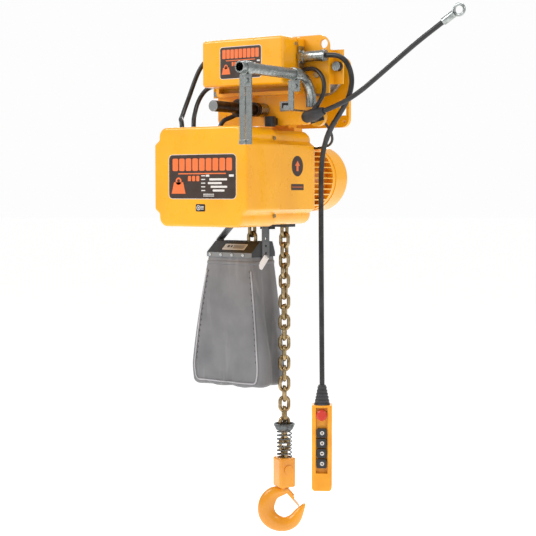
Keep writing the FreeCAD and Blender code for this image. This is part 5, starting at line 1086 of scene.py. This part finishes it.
@dataclass
class CadDressing:
    """Gives every CAD node the finish of the real part."""

    gland: tuple[float, float] = (0.172, -0.073)  # metres; the supply gland's middle across and up
    gland_boot: float = 0.016  # metres; radius of its rubber
    stop: float = 0.033  # metres; how far across the stop cylinder stands
    stop_radius: float = 0.0148  # metres, with a little to spare
    stop_top: float = -0.0675  # metres
    rivets_top: float = -0.36  # metres; the cover's screws lie above it, the bag's rivets below

    whole: dict[str, Finish] = field(default_factory=lambda: {
        "side_plate_near": ENAMEL, "side_plate_far": ENAMEL, "mounting_plate": ENAMEL,
        "trolley_box_base": ENAMEL,
        "trolley_box_cover": ENAMEL, "suspension_yoke": ENAMEL, "control_cover": ENAMEL, "gear_case": ENAMEL,
        "motor_frame": ENAMEL, "fan_cover": ENAMEL, "travel_motor": ENAMEL, "hook_block": HOOK_ENAMEL,
        "crane_hook": HOOK_ENAMEL, "hook_latch": HOOK_ENAMEL, "pendant_front": PENDANT_ABS,
        "pendant_back": PENDANT_ABS, "support_pipe": ZINC, "pipe_clamps": ZINC, "drop_bars": ZINC,
        "pendant_socket": ZINC, "trolley_fasteners": ZINC, "hoist_fasteners": RIVET_ZINC,
        "supply_hanger": ZINC,
        "load_chain": CHAIN_PLATE, "slack_chain": CHAIN_PLATE, "cushion_spring": OILED_SPRING,
        "limit_plate": OILED_SPRING, "chain_pin": HOOK_ENAMEL, "suspension_shaft": BROWNED,
        "shaft_spacers": BROWNED,
        "supply_gland": BOOT_RUBBER, "pendant_boot": RIBBED_RUBBER, "chain_guide": BLACK_NYLON,
        "cooling_fan": BLACK_NYLON, "button_raise": BLACK_NYLON, "button_lower": BLACK_NYLON,
        "button_left": BLACK_NYLON, "button_right": BLACK_NYLON, "button_emergency_stop": RED_ABS,
        "motor_stator": LAMINATIONS, "bag_frame": BLACK_SHEET, "bag_straps": GREY_SHEET, "chain_bag": CLOTH,
    })

    def part_finish(self, node: bpy.types.Object, finish: Finish,
                    inside: Callable[[bpy.types.MeshPolygon], bool]) -> None:
        """Gives some faces of a node a second finish.

        Args:
            node: the CAD node.
            finish: the second finish.
            inside: a test of a face that says whether it takes the second finish.
        """
        node.data.materials.append(finish.material())
        number = len(node.data.materials) - 1
        for face in node.data.polygons:
            if inside(face):
                face.material_index = number

    def build(self, nodes: dict[str, bpy.types.Object]) -> None:
        """Dresses all nodes, then the ones that join two materials.

        Args:
            nodes: the frame's nodes by name.
        """
        for name, node in nodes.items():
            finish = self.whole.get(name, STEEL)
            if name.startswith(("cable_", "supply_cord", "pendant_cord", "jumper")):
                finish = CORD_JACKET
            node.data.materials.clear()
            node.data.materials.append(finish.material())
            for face in node.data.polygons:
                face.material_index = 0
        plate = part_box("side_plate_near")[0].y
        self.part_finish(nodes["supply_gland"], ENAMEL, lambda f: f.center.y > plate - 0.0125 and (
            f.center - Vector((self.gland[0], f.center.y, self.gland[1]))).length > self.gland_boot)
        near_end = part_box("suspension_shaft")[0].y
        self.part_finish(nodes["suspension_shaft"], SAWN_END, lambda f: f.center.y < near_end + 0.0015)
        self.part_finish(nodes["shaft_spacers"], ZINC, lambda f: plate - 0.034 < f.center.y < plate)
        self.part_finish(nodes["trolley_fasteners"], BROWNED,
                         lambda f: f.center.x > 0.14 and f.center.y > plate)
        self.part_finish(nodes["trolley_fasteners"], BLACK_NYLON, lambda f: (
            abs(f.center.x - self.stop) < self.stop_radius and f.center.z < self.stop_top))
        self.part_finish(nodes["hoist_fasteners"], CHAIN_PLATE, lambda f: f.center.z > self.rivets_top)
        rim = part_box("bag_frame")[0].z + 0.0118
        self.part_finish(nodes["bag_frame"], RIM_SHEET, lambda f: f.center.z < rim and abs(f.normal.z) < 0.5)
        LOG.info("dressed %d nodes", len(nodes))


@dataclass
class Lettering:
    """Every printed panel, disc and symbol, with plain shapes in place of any words."""

    def panels(self) -> list[Label]:
        """Returns the labels of the hoist, the trolley and the bag."""
        toward, leftward = Vector((0, 1, 0)), Vector((-1, 0, 0))
        along, inward = Vector((1, 0, 0)), Vector((0, 1, 0))
        sticker = [Mark(rounded(30, 19, 3), BLACK_NYLON, lift=0.2), Mark(disc(6.2), PALE_INK, -6.5, 0, 0.35),
                   Mark(disc(4.4), BLACK_NYLON, -6.5, 0, 0.5), Mark(disc(2), PALE_INK, -6.5, 0, 0.65)]
        sticker += [bar(5.5, 3.4 - 3.4 * i, 10, 1.5, PALE_INK) for i in range(3)]
        arrow = [(-5, -12), (5, -12), (5, 2), (12, 2), (0, 15), (-12, 2), (-5, 2)]
        bag = [Mark(rounded(74, 24, 2), WHITE_CARD, lift=0.2),
               Mark(rounded(71.6, 21.6, 1.5), GREY_FILM, lift=0.35),
               bar(-22, 2, 8, 9, BLACK_NYLON), bar(-12, 2, 5, 9, BLACK_NYLON)]
        bag += [bar(13, 5.5 - 3.6 * i, 38 - 4 * (i % 2), 1.6, BLACK_NYLON) for i in range(4)]
        plate = [Mark(rounded(60, 16, 2), DARK_FILM, lift=0.2), bar(0, 0, 50, 1.6, ORANGE_INK, 0.4)]
        serial = [Mark(rounded(42, 26, 2), RIVET_ZINC, lift=0.3),
                  Mark(rounded(30, 14, 1), BLACK_NYLON, 0, 2, 0.5)]
        serial += [bar(-8 + 8 * i, -8.5, 5, 2.2, BLACK_NYLON, 0.5) for i in range(3)]
        frame_low, frame_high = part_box("bag_frame")
        slope = Vector(((frame_low.x + frame_high.x) / 2 + 6 * MM, frame_low.y - 0.1, frame_low.z + 27 * MM))
        return [
            Label("hoist_panel", "control_cover", "hoist", "yellow_paint", Vector((-0.052, -0.6, -0.226)),
                  toward,
                  along, rating_panel(215, 114)),
            Label("trolley_panel", "trolley_box_cover", "trolley", "yellow_paint",
                  Vector((-0.003, -0.6, 0.068)),
                  toward, along, rating_panel(131, 83)),
            Label("small_sticker", "control_cover", "hoist", "yellow_paint", Vector((-0.057, -0.6, -0.305)),
                  toward,
                  along, sticker),
            Label("lift_disc", "gear_case", "hoist", "yellow_paint", Vector((0.5, -0.065, -0.197)), leftward,
                  inward,
                  [Mark(disc(27), DARK_FILM, lift=0.25), Mark(arrow, ORANGE_INK, 0, -1, 0.45)]),
            Label("side_plate_mark", "gear_case", "hoist", "yellow_paint", Vector((0.5, -0.065, -0.252)),
                  leftward,
                  inward, plate),
            Label("trolley_data_plate", "side_plate_near", "trolley", "zinc_plate",
                  Vector((0.072, -0.135, -0.042)),
                  toward, along, serial),
            Label("bag_panel", "bag_frame", "hoist", "dark_sheet", slope, toward, along, bag),
        ]

    def buttons(self) -> list[Label]:
        """Returns the symbols on the pendant's four square buttons."""
        facing = Vector((-0.5, math.sqrt(0.75), 0))
        across = Vector((math.sqrt(0.75), 0.5, 0))
        turns = {"raise": 90, "lower": -90, "left": 180, "right": 0}
        made = []
        for name, turn in turns.items():
            low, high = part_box(f"button_{name}")
            tip = [(3.7, 0), (-0.3, 3.4), (-0.3, 1.2), (-3.4, 1.2), (-3.4, -1.2), (-0.3, -1.2), (-0.3, -3.4)]
            c, s = math.cos(math.radians(turn)), math.sin(math.radians(turn))
            arrow = [(a * c - b * s, a * s + b * c) for a, b in tip]
            made.append(Label(f"symbol_{name}", f"button_{name}", f"button_{name}", "black_plastic",
                              (low + high) / 2 - facing * 0.1, facing, across,
                              [Mark(disc(5.2), PALE_INK, lift=0.12), Mark(arrow, BLACK_NYLON, lift=0.25)]))
        return made

    def build(self) -> None:
        """Builds all labels and symbols."""
        for label in self.panels() + self.buttons():
            label.build()


@dataclass
class Studio:
    """The floor, the soft lights and the camera."""

    floor_drop: float = 0.30  # metres below the hook
    bearing: float = 34.4  # degrees the camera stands round from straight ahead
    pitch: float = 3.31  # degrees the camera looks down
    lens: float = 88.2
    air: float = 0.5  # strength of the light from all round
    eye: Vector = field(default_factory=lambda: Vector((1.975, -2.9635, -0.265)))

    def floor(self) -> None:
        """Lays a wide round floor."""
        low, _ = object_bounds()
        z = low[2] - self.floor_drop
        rings = [0.0, 2.0, 6.0, 20.0, 60.0]
        around = 64
        points = [Vector((r * math.cos(2 * math.pi * k / around), r * math.sin(2 * math.pi * k / around), z))
                  for r in rings[1:] for k in range(around)]
        faces = [(i * around + k, i * around + (k + 1) % around, (i + 1) * around + (k + 1) % around,
                  (i + 1) * around + k) for i in range(len(rings) - 2) for k in range(around)]
        faces.append(tuple(range(around)))
        data = bpy.data.meshes.new("studio_floor")
        data.from_pydata([tuple(p) for p in points], [], faces)
        data.materials.append(FLOOR.material())
        floor = bpy.data.objects.new("studio_floor", data)
        bpy.context.scene.collection.objects.link(floor)
        floor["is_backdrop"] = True

    def lamp(self, name: str, spot: Vector, size: float, watts: float, tint: str) -> None:
        """Hangs one soft square light, aimed at the hoist.

        Args:
            name: its name.
            spot: where it hangs.
            size: its side in metres.
            watts: its power.
            tint: hex of its colour.
        """
        light = bpy.data.lights.new(name, "AREA")
        light.size = size
        light.energy = watts
        light.color = linear(tint)[:3]
        lamp = bpy.data.objects.new(name, light)
        bpy.context.scene.collection.objects.link(lamp)
        lamp.location = spot
        lamp.rotation_euler = (Vector((0, -0.05, -0.35)) - spot).to_track_quat("-Z", "Y").to_euler()

    def build(self) -> None:
        """Sets out the floor, lights, surrounding light and camera."""
        self.floor()
        self.lamp("key_light", Vector((-1.5, -2.6, 1.7)), 1.7, 62, "#FFFFFF")
        self.lamp("fill_light", Vector((3.0, -0.5, 1.2)), 1.5, 26, "#FFFDF8")
        self.lamp("top_light", Vector((0.3, 0.5, 2.6)), 1.6, 34, "#FFFFFF")
        self.lamp("edge_light", Vector((-1.7, 2.3, 0.8)), 1.2, 30, "#FFFFFF")
        world = bpy.data.worlds.new("studio_air")
        world.use_nodes = True
        sky = world.node_tree.nodes["Background"]
        sky.inputs["Color"].default_value = linear("#FDFDFD")
        seen = add(world.node_tree, "ShaderNodeLightPath").outputs["Is Camera Ray"]
        glow = add(world.node_tree, "ShaderNodeMapRange", {"Value": seen, "To Min": self.air, "To Max": 1.0})
        world.node_tree.links.new(glow.outputs[0], sky.inputs["Strength"])
        scene = bpy.context.scene
        scene.world = world
        scene.view_settings.view_transform = "Standard"
        eye = bpy.data.cameras.new("catalogue_camera")
        eye.lens = self.lens
        eye.sensor_width = 36
        eye.clip_end = 200
        camera = bpy.data.objects.new("catalogue_camera", eye)
        scene.collection.objects.link(camera)
        camera.location = self.eye
        camera.rotation_euler = (math.radians(90 - self.pitch), 0, math.radians(self.bearing))
        scene.camera = camera


def main() -> None:
    """Builds the hoist's looks in order."""
    logging.basicConfig(level=logging.INFO, format="%(message)s")
    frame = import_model()
    CadDressing().build(frame["nodes"])
    Wiring().build()
    ChainBag().build()
    WireTag().build()
    Lettering().build()
    Studio().build()


if __name__ == "__main__":
    main()
